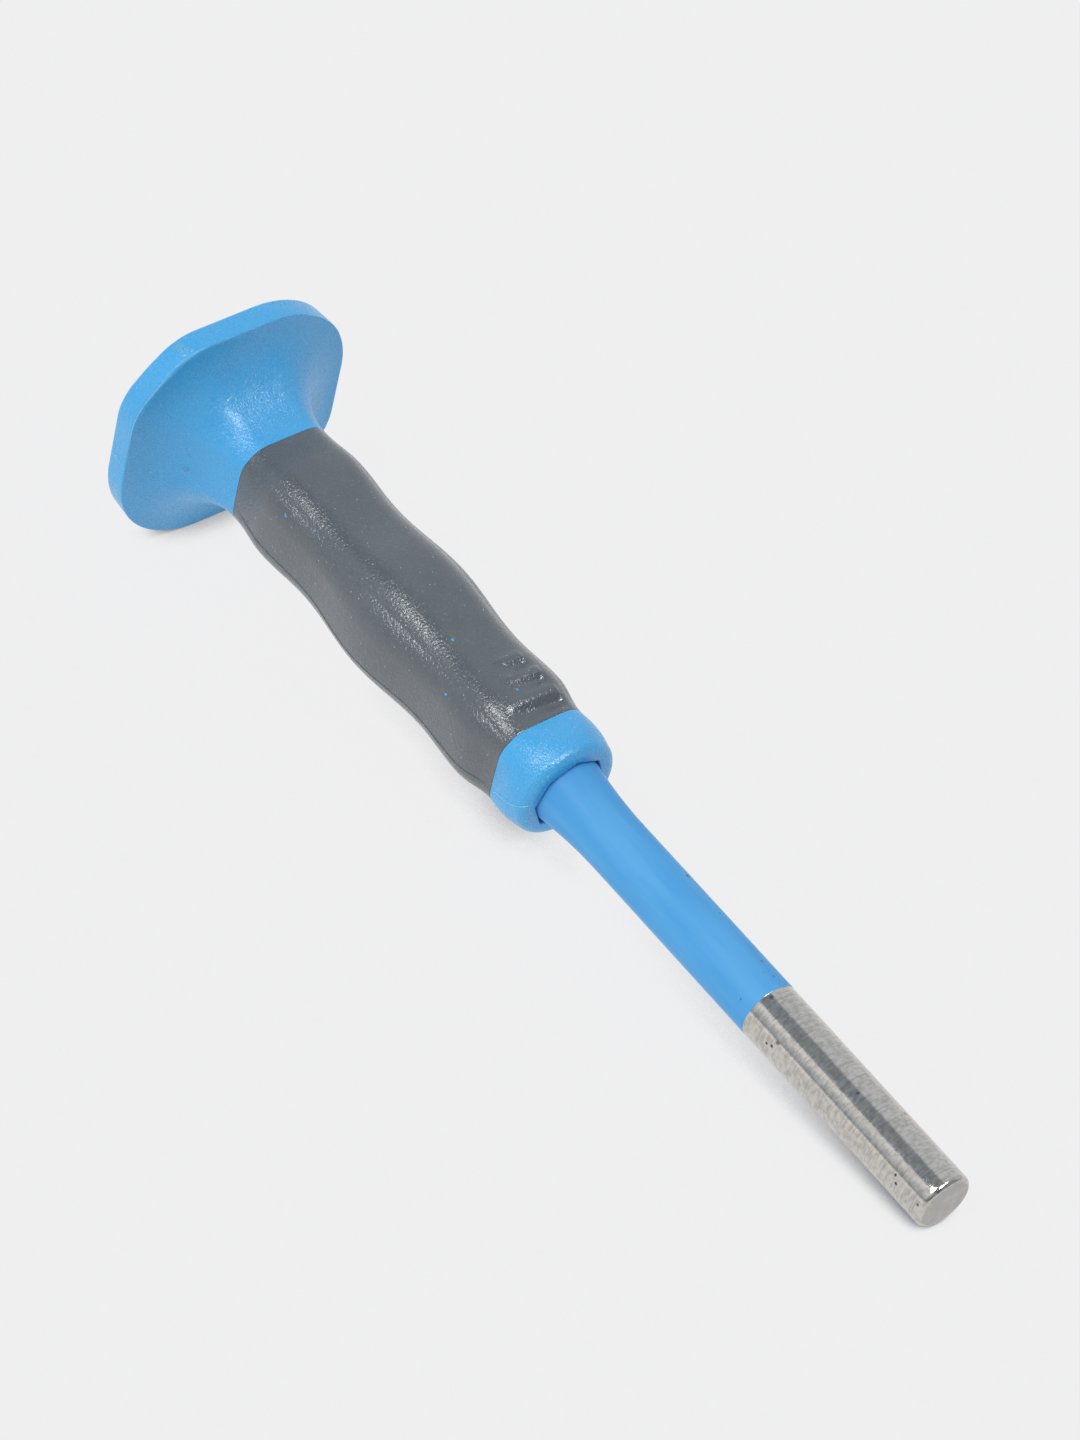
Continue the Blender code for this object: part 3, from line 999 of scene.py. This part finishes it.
    def build_lines(self, finish: Material) -> None:
        """Adds the thin lines that the mould leaves along the rim's crease and across its left side.

        Args:
            finish: their material.
        """
        stations, radii = self.front_ring(EIGHTH)
        for number, (first, last) in enumerate(self.crease_arcs, 1):
            angles = np.radians(np.linspace(first, last, self.crease_steps))
            station, radius = (np.interp(angles, ANGLES, part) for part in (stations, radii))
            arc = np.column_stack([station, radius * np.sin(angles), radius * np.cos(angles)])
            line = replace(self.crease_line, name=f"{self.crease_line.name}_{number}")
            line.build(arc, finish, Slot.BLUE)
        edge = self.front_edge()[AROUND * 3 // 4]
        stations = np.linspace(self.back + self.back_edge, self.rim_front - edge, self.side_steps)
        side = [self.rim_ring(0.0, station) for station in stations]
        spots = [place_on(side, station, self.side_angle) for station in stations]
        self.side_line.build(spots, finish, Slot.BLUE)


@dataclass(frozen=True)
class Groove:
    """A thumb groove: a steep wall behind a low ridge, easing back up towards the tip."""

    ridge: float
    width: float
    depth: float
    left: float
    right: float
    skew: float = 0.05
    wall: float = 2.0
    floor: float = 1.8
    shallow: float = 0.45
    crest: float = 0.5
    crest_place: float = -0.8
    crest_width: float = 1.4
    left_fade: Span = (-2.2, 1.6)
    right_fade: Span = (-1.0, 0.5)

    def height(self, station: float, side: np.ndarray) -> np.ndarray:
        """Works out how far the surface stands out.

        Args:
            station: how far along the tool it is.
            side: the places of its points across the tool.

        Returns:
            Heights in millimetres.
        """
        along = station - self.ridge - self.skew * side
        wall = smoothstep(0.0, self.wall, along)
        floor = 1.0 - smoothstep(self.floor, self.width, along)
        deeper = self.shallow + (1.0 - self.shallow) * smoothstep(self.left, self.right, side)
        crest = self.crest * np.exp(-(((along - self.crest_place) / self.crest_width) ** 2))
        left, right = ((edge + fade[0], edge + fade[1]) for edge, fade in
                       ((self.left, self.left_fade), (self.right, self.right_fade)))
        inside = smoothstep(*left, side) * (1.0 - smoothstep(*right, side))
        return (crest - self.depth * wall * floor * deeper) * inside


@dataclass
class Sleeve:
    """The soft sleeve, which swells three times along the grip.

    Each swell is (share of the length, extra half width, corner radius).
    """

    guard_half_width: float = 13.1
    collar_half_width: float = 12.8
    crown: float = 0.5
    swell_crown: float = 0.36
    bore_radius: float = 11.8
    seam_overlap: float = 0.25
    edge_radius: float = 0.12
    swells: tuple[Place, ...] = (
        (0.0, 0.0, 6.6), (0.125, 1.15, 7.8), (0.28, 0.75, 8.6), (0.515, 2.55, 10.5),
        (0.74, 1.05, 9.0), (0.895, 1.55, 8.2), (1.0, 0.0, 6.6),
    )
    grooves: tuple[Groove, ...] = (
        Groove(121.9, 4.6, 0.95, 0.0, 6.8),
        Groove(128.0, 5.0, 1.2, -2.0, 7.8),
        Groove(134.8, 5.4, 1.3, -6.0, 8.6),
    )
    groove_zone: float = 120.0
    coarse_step: float = 0.9
    fine_step: float = 0.22
    parting_angle: float = 111.0
    parting_inset: float = 0.6
    parting_steps: int = 120
    parting_line: Flash = Flash("sleeve_parting_line", 0.15)
    flecks: Flecks = Flecks("sleeve_flecks", (
        (52.0, -13.8, 9.5), (60.6, -11.7, 11.3), (109.4, -5.2, 14.4), (119.4, -13.9, 9.0),
        (130.5, -1.3, 14.3),
    ))

    def __post_init__(self) -> None:
        """Finds where the sleeve stands along the tool."""
        self.start, self.end = TOOL.reach("grip_sleeve")

    def swell(self, share: float) -> Span:
        """Eases the section between its swells.

        Args:
            share: the share of the length from the guard.

        Returns:
            The extra half width and the corner radius, in millimetres.
        """
        for left, right in zip(self.swells, self.swells[1:]):
            if share <= right[0]:
                part = (share - left[0]) / (right[0] - left[0])
                ease = (1.0 - math.cos(math.pi * part)) / 2
                return tuple(a + (b - a) * ease for a, b in zip(left[1:], right[1:]))
        return self.swells[-1][1:]

    def radii(self, station: float) -> np.ndarray:
        """Measures the plain section.

        Args:
            station: how far along the tool it is.

        Returns:
            Its radii.
        """
        share = min(max((station - self.start) / (self.end - self.start), 0.0), 1.0)
        straight = self.guard_half_width + (self.collar_half_width - self.guard_half_width) * share
        swell, radius = self.swell(share)
        crown = self.crown + self.swell_crown * swell
        return Section(straight + swell, (Corner.rounded(radius),) * 4, crown).radii()

    def outside(self) -> list[Ring]:
        """Shapes the outside, with the grooves pressed in.

        Returns:
            The rings from the guard to the collar.
        """
        first, last = self.start - self.seam_overlap, self.end + self.seam_overlap
        coarse = np.arange(first + self.edge_radius, self.groove_zone, self.coarse_step)
        fine = np.arange(self.groove_zone, last - self.edge_radius, self.fine_step)
        rings = [ring(first, self.radii(first) - self.edge_radius)]
        for station in np.concatenate([coarse, fine]):
            radii = self.radii(station)
            height = sum(part.height(station, radii * np.sin(ANGLES)) for part in self.grooves)
            rings.append(ring(station, radii + np.where(np.cos(ANGLES) > 0.0, height, 0.0)))
        return rings + [ring(last, self.radii(last) - self.edge_radius)]

    def build(self, finish: Material) -> Piece:
        """Builds the sleeve with its finish, and returns it."""
        ends = (self.end + self.seam_overlap, self.start - self.seam_overlap)
        rings = self.outside() + [ring(end, circle(self.bore_radius)) for end in ends]
        return add_skin("sleeve_skin", rings, finish, Slot.GREY, "grip_sleeve")

    def build_marks(self, grey: Material, blue: Material) -> None:
        """Adds the mould's two parting lines, and the flecks of blue that stick to the sleeve.

        Args:
            grey: the sleeve's finish.
            blue: the guard's finish.
        """
        rings = self.outside()
        first, last = self.start + self.parting_inset, self.end - self.parting_inset
        for side, label in ((-1.0, "left"), (1.0, "right")):
            spots = [place_on(rings, station, side * self.parting_angle)
                     for station in np.linspace(first, last, self.parting_steps)]
            line = replace(self.parting_line, name=f"{self.parting_line.name}_{label}")
            line.build(spots, grey, Slot.GREY)
        self.flecks.build(rings, blue, Slot.BLUE)


@dataclass
class Collar:
    """The soft collar: square at its seam, round with a rolled edge at its face."""

    seam_half_width: float = 12.8
    seam_corner: float = 6.6
    front_radius: float = 14.8
    roll_radius: float = 3.0
    crown: float = 0.5
    least_flat: float = 0.001
    hole_across_flats: float = 19.6
    edge_radius: float = 0.15
    edge_steps: int = 4
    hole_edge: float = 0.4
    hole_steps: int = 5
    bell_steps: int = 40
    roll_steps: int = 16
    line: Flash = Flash("collar_line", 0.12)
    line_path: tuple[Span, ...] = (
        (141.6, -112.0), (143.6, -103.0), (145.6, -100.0), (148.5, -96.0), (151.4, -90.0), (154.2, -82.0),
    )
    line_steps: int = 60

    def __post_init__(self) -> None:
        """Finds where the collar stands along the tool."""
        self.seam, self.face = TOOL.reach("front_collar")

    def bell_section(self, share: float) -> np.ndarray:
        """Measures the bell between the square seam and the round front.

        Args:
            share: the share of the way to the front.

        Returns:
            Its radii.
        """
        swell = math.sin(share * QUARTER)
        half_width = self.seam_half_width + (self.front_radius - self.seam_half_width) * swell
        radius = self.seam_corner + (self.front_radius - self.seam_corner) * share
        corner = Corner.rounded(min(radius, half_width - self.least_flat))
        return Section(half_width, (corner,) * 4, self.crown * (1.0 - share)).radii()

    def outside(self) -> list[Ring]:
        """Shapes the outside.

        Returns:
            The rings from the seam over the bell and its rolled edge.
        """
        seam, edge, roll = self.bell_section(0.0), self.edge_radius, self.roll_radius
        rings = [ring(self.seam + edge * (1.0 - math.cos(angle)), seam - edge * (1.0 - math.sin(angle)))
                 for angle in quarter_turn(self.edge_steps)[:-1]]
        bell_start, roll_start = self.seam + edge, self.face - roll
        for share in np.linspace(0.0, 1.0, self.bell_steps):
            rings.append(ring(bell_start + (roll_start - bell_start) * share, self.bell_section(share)))
        for angle in quarter_turn(self.roll_steps)[1:]:
            radius = self.front_radius - roll * (1.0 - math.cos(angle))
            rings.append(ring(roll_start + roll * math.sin(angle), circle(radius)))
        return rings

    def inside(self) -> list[Ring]:
        """Shapes the hole, whose front edge is eased.

        Returns:
            The rings from the face to the seam.
        """
        hole, edge = octagon(self.hole_across_flats), self.hole_edge
        rings = [ring(self.face - edge * (1.0 - math.cos(angle)), hole + edge * (1.0 - math.sin(angle)))
                 for angle in quarter_turn(self.hole_steps)]
        return rings + [ring(self.seam, hole)]

    def build(self, finish: Material) -> Piece:
        """Builds the collar with its finish, and returns it."""
        return add_skin("collar_skin", self.outside() + self.inside(), finish, Slot.BLUE, "front_collar")

    def build_line(self, finish: Material) -> None:
        """Adds the thin line that the mould leaves from the seam to the hole.

        Args:
            finish: its material.
        """
        rings = self.outside()
        stations, angles = zip(*self.line_path)
        knots = np.linspace(0.0, 1.0, len(stations))
        along = np.interp(np.linspace(0.0, 1.0, self.line_steps), knots, stations)
        spots = [place_on(rings, x, angle) for x, angle in zip(along, np.interp(along, stations, angles))]
        self.line.build(spots, finish, Slot.BLUE)


@dataclass
class Bar:
    """The one-piece steel bar: octagonal stock, turned to a round working end."""

    across_flats: float = 19.0
    stock_margin: float = 0.3
    rod_radius: float = 8.0
    rod_length: float = 125.0
    flare_radius: float = 139.0
    head_radius: float = 7.5
    chamfer: float = 3.6
    tip_edge: float = 1.7
    bare_length: float = 66.8
    lacquer: float = 0.05
    around: int = 192
    head_steps: int = 5
    chamfer_steps: int = 14
    stock_steps: int = 30
    flare_steps: int = 48
    painted_steps: int = 24
    bare_steps: int = 28
    tip_steps: int = 9
    face_steps: int = 8
    merge_reach: float = 0.002

    def __post_init__(self) -> None:
        """Finds where the bar and its paint end."""
        self.length = TOOL.reach("punch_bar")[1]
        self.paint_end = self.length - self.bare_length

    def outline(self) -> np.ndarray:
        """Lists the turned outline.

        Returns:
            Its points (station, radius, 0), from the head to the tip.
        """
        stock = self.across_flats / 2 / math.cos(EIGHTH / 2) + self.stock_margin
        rod_start, rod_end = self.length - self.rod_length, self.length - self.tip_edge
        points = [(0.0, share * self.head_radius) for share in np.linspace(0.0, 1.0, self.head_steps)]
        points += [(self.chamfer * share, self.head_radius + (stock - self.head_radius) * share)
                   for share in np.linspace(0.0, 1.0, self.chamfer_steps)[1:]]
        sweep = math.acos(1.0 - (stock - self.rod_radius) / self.flare_radius)
        painted = self.rod_radius + self.lacquer
        flare = [(rod_start - self.flare_radius * math.sin(angle),
                  painted + self.flare_radius * (1.0 - math.cos(angle)))
                 for angle in np.linspace(sweep, 0.0, self.flare_steps)]
        points += [(x, stock) for x in np.linspace(self.chamfer, flare[0][0], self.stock_steps)[1:-1]]
        points += flare
        points += [(x, painted) for x in np.linspace(rod_start, self.paint_end, self.painted_steps)[1:]]
        points += [(x, self.rod_radius) for x in np.linspace(self.paint_end, rod_end, self.bare_steps)]
        inner = self.rod_radius - self.tip_edge
        points += [(rod_end + self.tip_edge * math.sin(angle), inner + self.tip_edge * math.cos(angle))
                   for angle in quarter_turn(self.tip_steps)[1:]]
        points += [(self.length, share * inner) for share in np.linspace(1.0, 0.0, self.face_steps)[1:]]
        return np.array([(station, radius, 0.0) for station, radius in points])

    def tree(self, lacquer: Material, steel: Material) -> PathTree:
        """Builds the tree that turns the outline and keeps it inside the octagonal stock.

        Args:
            lacquer: the paint's finish.
            steel: the finish of the bare end.

        Returns:
            The tree.
        """
        tree = PathTree("turned_bar", {
            "Across Flats": self.across_flats,
            "Steps Around": self.around,
            "Merge Reach": self.merge_reach,
            "Paint Line": self.paint_end,
            "Lacquer": lacquer,
            "Bare Steel": steel,
        })
        given = tree.given
        rows = tree.out("GeometryNodeAttributeDomainSize", {0: given["Geometry"]})
        grid = {"Size X": 1.0, "Size Y": 1.0, "Vertices Y": rows,
                "Vertices X": tree.math("ADD", given["Steps Around"], 1.0)}
        place = tree.parts(tree.position())
        across, along = (tree.math("ADD", part, 0.5) for part in place[:2])
        angle = tree.math("MULTIPLY", across, TURN)
        row = tree.math("ROUND", tree.math("MULTIPLY", along, tree.math("SUBTRACT", rows, 1.0)))
        sample = {"Geometry": given["Geometry"], "Value": tree.position(), "Index": row}
        outline = tree.parts(tree.out("GeometryNodeSampleIndex", sample, data_type="FLOAT_VECTOR",
                                      domain="POINT"))
        facet = tree.math("SUBTRACT", tree.math("MODULO", angle, EIGHTH), EIGHTH / 2)
        half = tree.math("MULTIPLY", given["Across Flats"], 0.5)
        stock = tree.math("DIVIDE", half, tree.math("COSINE", facet))
        radius = tree.math("MINIMUM", outline[1], stock)
        round_way = (tree.math("MULTIPLY", radius, tree.math(part, angle)) for part in ("SINE", "COSINE"))
        shaped = {"Geometry": tree.out("GeometryNodeMeshGrid", grid),
                  "Position": tree.joined(outline[0], *round_way)}
        merged = {"Geometry": tree.out("GeometryNodeSetPosition", shaped), "Distance": given["Merge Reach"]}
        behind = {0: tree.parts(tree.position())[0], 1: given["Paint Line"]}
        painted = tree.out("FunctionNodeCompare", behind, data_type="FLOAT", operation="LESS_THAN")
        tree.close(tree.out("GeometryNodeMergeByDistance", merged),
                   {"Bare Steel": {}, "Lacquer": {"Selection": painted}})
        return tree

    def build(self, lacquer: Material, steel: Material) -> Piece:
        """Builds the bar.

        Args:
            lacquer: the paint's finish.
            steel: the finish of the bare end.

        Returns:
            The piece.
        """
        mesh = self.tree(lacquer, steel).bake("bar_steel", self.outline())
        return add_piece(mesh, Slot.STEEL, "punch_bar")


@dataclass(frozen=True)
class SunLamp:
    """A distant soft lamp."""

    name: str
    toward: Place
    strength: float
    spread: float
    glints_only: bool = False

    def add(self) -> None:
        """Adds the lamp to the scene."""
        lamp = bpy.data.lights.new(self.name, "SUN")
        lamp.energy = self.strength
        lamp.angle = math.radians(self.spread)
        obj = bpy.data.objects.new(self.name, lamp)
        obj.rotation_euler = Vector(self.toward).to_track_quat("Z", "Y").to_euler()
        obj.visible_diffuse = not self.glints_only
        bpy.context.scene.collection.objects.link(obj)


@dataclass(frozen=True)
class LightTent:
    """The pale tent round the tool: long strips of cloth that lie along it.

    Each strip is (angle from straight up towards the tool's left, brightness). Dim cloth looks
    cooler, and the tent is dimmer beyond the tool's tip.
    """

    strips: tuple[Span, ...] = (
        (-180.0, 0.8), (-60.0, 0.75), (-12.0, 0.72), (-7.0, 0.36), (34.0, 0.33), (38.0, 0.95),
        (50.0, 0.92), (62.0, 0.72), (72.0, 0.6), (77.0, 0.42), (80.5, 0.42), (83.0, 1.0),
        (100.0, 1.05), (180.0, 0.8),
    )
    coolness: float = 0.2
    tip_side: float = 0.5
    tip_span: Span = (0.0, 0.7)

    def add(self) -> None:
        """Sets the world to the tent."""
        world = bpy.data.worlds.new("light_tent")
        world.use_nodes = True
        bpy.context.scene.world = world
        tree = Tree(world.node_tree)
        way = tree.parts(tree.node("ShaderNodeTexCoord").outputs["Generated"])
        angle = tree.math("ARCTAN2", tree.math("MULTIPLY", way[1], -1.0), way[2])
        share = tree.out("ShaderNodeMapRange", {0: angle, 1: -math.pi, 2: math.pi})
        ramp = tree.node("ShaderNodeValToRGB", {0: share})
        stops = ramp.color_ramp.elements
        stops.remove(stops[1])
        for number, (degrees, level) in enumerate(self.strips):
            place = degrees / DEGREES + 0.5
            stop = stops.new(place) if number else stops[0]
            stop.position = place
            cool = self.coolness * max(1.0 - level, 0.0)
            stop.color = (level * (1.0 - cool), level, level * (1.0 + cool), 1.0)
        back = world.node_tree.nodes["Background"]
        tree.feed(back.inputs["Color"], ramp.outputs[0])
        tree.feed(back.inputs["Strength"], tree.span(way[0], *self.tip_span, 1.0, self.tip_side))


@dataclass(frozen=True)
class Studio:
    """Floor, lights and camera."""

    target: Place = (-0.0191, 0.0092, 0.0216)
    distance: float = 1.5324
    azimuth: float = 45.24
    elevation: float = 43.08
    roll: float = 9.45
    lens: float = 155.0
    film_height: float = 36.0
    clip_end: float = 20.0
    floor_half_width: float = 6.0
    paper: Colour = (237, 237, 238)
    shade: Colour = (52, 62, 76)
    shade_reach: float = 0.0155
    shade_span: Span = (0.1, 0.53)
    shade_rays: int = 8
    floor_colour: Floats = (0.02, 0.02, 0.02, 1.0)
    fibre_clouds: Floats = (0.8, 3.0, 0.2, 0.8, 0.99, 1.0)
    tent: LightTent = LightTent()
    lamps: tuple[SunLamp, ...] = (
        SunLamp("key_lamp", (0.02, -0.52, 0.85), 1.35, 24.0),
        SunLamp("side_lamp", (0.42, 0.28, 0.86), 0.3, 12.0),
        SunLamp("glint_lamp", (0.54, -0.04, 0.84), 2.2, 20.0, True),
    )

    def add_camera(self) -> None:
        """Adds the camera at the photograph's viewing angle."""
        turn = (Matrix.Rotation(math.radians(self.azimuth), 3, "Z")
                @ Matrix.Rotation(math.radians(90.0 - self.elevation), 3, "X")
                @ Matrix.Rotation(math.radians(self.roll), 3, "Z"))
        camera = bpy.data.cameras.new("photo_camera")
        camera.sensor_fit = "VERTICAL"
        camera.sensor_height = self.film_height
        camera.lens = self.lens
        camera.clip_end = self.clip_end
        obj = bpy.data.objects.new("photo_camera", camera)
        obj.rotation_euler = turn.to_euler()
        obj.location = Vector(self.target) + turn @ Vector((0.0, 0.0, self.distance))
        bpy.context.scene.collection.objects.link(obj)
        bpy.context.scene.camera = obj

    def add_floor(self) -> None:
        """Adds the pale floor: glowing paper whose only shadow is the tool's close shadow, painted into its
        glow.
        """
        reach = self.floor_half_width
        corners = [(-reach, -reach, 0.0), (reach, -reach, 0.0), (reach, reach, 0.0), (-reach, reach, 0.0)]
        mesh = bpy.data.meshes.new("floor")
        mesh.from_pydata(corners, [], [(0, 1, 2, 3)])
        paint = Paint("floor_paper")
        inputs = {"Distance": self.shade_reach}
        gap = paint.node("ShaderNodeAmbientOcclusion", inputs, samples=self.shade_rays).outputs["AO"]
        # Painted shadow: the floor's glow turns to the shade colour where the occlusion test finds the tool
        # close.
        share = paint.span(gap, *self.shade_span)
        paint.set(Base_Color=self.floor_colour, Roughness=1.0, Specular_IOR_Level=0.0,
                  Emission_Color=paint.mix(share, linear(self.shade), linear(self.paper)),
                  Emission_Strength=paint.clouds(*self.fibre_clouds))
        mesh.materials.append(paint.material)
        floor = bpy.data.objects.new("floor", mesh)
        bpy.context.scene.collection.objects.link(floor)

    def add(self) -> None:
        """Adds everything of the studio."""
        self.add_camera()
        self.add_floor()
        self.tent.add()
        for lamp in self.lamps:
            lamp.add()
        bpy.context.scene.view_settings.view_transform = "Standard"
        LOG.info("studio: camera, floor and %d lamps", len(self.lamps))


CHIP = (62, 66, 72)
NICK = (58, 56, 54)
BLUE_RUBBER = SoftRubber(
    name="blue_rubber",
    colour=(66, 171, 231),
    worn=(82, 179, 233),
    grain=Grain.LEATHER,
    period=0.8,
    depth=0.17,
    roughness=0.25,
    crest_glint_share=0.02,
    speck_strength=0.3,
    specular=0.6,
    sheen=0.0,
    marks=(
        Mark((7.4, -19.2, 32.6), 2.0, (128, 178, 190), 0.35),
        # Whitish scuff at the rim's upper-left corner, partly a painted highlight.
        Mark((10.4, -18.9, 32.7), 2.2, (206, 224, 232), 0.5, 0.57),
        Mark((6.4, 11.3, 33.2), 0.6, (38, 86, 126), 0.7),
        Mark((18.8, -18.9, -1.7), 1.3, (54, 110, 144), 0.5, 0.48),
        Mark((18.9, -18.9, 3.5), 1.0, (60, 120, 154), 0.25, 0.48),
        Mark((14.5, 24.5, -3.3), 6.0, (120, 160, 186), 0.25),
    ),
)
# A lighter copy of the blue rubber for the mould's thin lines: a painted highlight, as if the lines caught
# the light.
BLUE_LINE_HIGHLIGHT = replace(BLUE_RUBBER, name="blue_rubber_line_highlight", colour=(124, 204, 240), worn=(140, 212, 242),
                    marks=())
GREY_RUBBER = SoftRubber(
    name="grey_rubber",
    colour=(83, 90, 96),
    worn=(95, 102, 107),
    grain=Grain.SPARK,
    period=0.72,
    depth=0.22,
    roughness=0.21,
    crest_glint_share=0.06,
    speck_strength=0.75,
    specular=0.9,
    sheen=0.12,
    marks=(Mark((129.8, -14.8, 1.0), 0.8, (44, 48, 50), 0.9),),
    dust_and_glint_colour=(176, 180, 180),
)
BAR_LACQUER = Lacquer(chips=(
    Mark((229.3, -6.7, 4.3), 0.4, CHIP, 0.6),
    Mark((175.0, 5.2, 6.1), 0.45, CHIP, 0.5),
    Mark((186.1, 5.5, 5.8), 0.5, CHIP, 0.7),
    Mark((194.0, 4.4, 6.7), 0.7, CHIP, 0.9),
    Mark((207.3, 3.7, 7.1), 0.4, CHIP, 0.5),
    Mark((210.9, 4.0, 6.9), 0.4, CHIP, 0.5),
    Mark((224.3, 3.0, 7.4), 0.6, (128, 112, 104), 0.8),
    Mark((227.4, 0.7, 8.0), 0.6, (70, 104, 130), 0.6, 0.45),
    Mark((229.5, 2.5, 7.6), 0.4, CHIP, 0.5),
))
BARE_STEEL = GroundSteel(nicks=(
    Mark((241.5, -7.8, 1.5), 0.5, NICK, 0.95),
    Mark((243.1, -7.7, 2.1), 0.55, NICK, 0.95),
    Mark((244.0, -7.0, 3.8), 0.75, NICK, 0.7),
    Mark((288.9, -7.2, 3.4), 0.5, NICK, 0.95),
    Mark((290.1, -7.8, 1.9), 0.5, NICK, 0.95),
    Mark((297.9, -7.6, 2.4), 0.5, NICK, 0.8),
    Mark((277.4, 4.3, 6.7), 0.5, NICK, 0.8),
    Mark((234.4, -2.1, 7.7), 0.8, NICK, 0.6),
    Mark((267.5, -2.4, 7.6), 0.6, NICK, 0.5),
))


def main() -> None:
    """Builds the studio and every piece."""
    logging.basicConfig(level=logging.INFO, format="%(message)s")
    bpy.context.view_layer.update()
    Studio().add()
    # The thin lines on the guard and collar take the lighter blue copy: a painted highlight.
    blue, blue_line_highlight = BLUE_RUBBER.material(), BLUE_LINE_HIGHLIGHT.material()
    grey = GREY_RUBBER.material()
    guard, sleeve, collar = Guard(), Sleeve(), Collar()
    guard.build(blue)
    guard.build_lines(blue_line_highlight)
    sleeve.build(grey)
    sleeve.build_marks(grey, blue)
    collar.build(blue)
    collar.build_line(blue_line_highlight)
    Bar().build(BAR_LACQUER.material(), BARE_STEEL.material())
    core = frame["nodes"]["core_tube"]
    core.data.materials.clear()
    core.data.materials.append(MouldedPolymer().material())


if __name__ == "__main__":
    main()
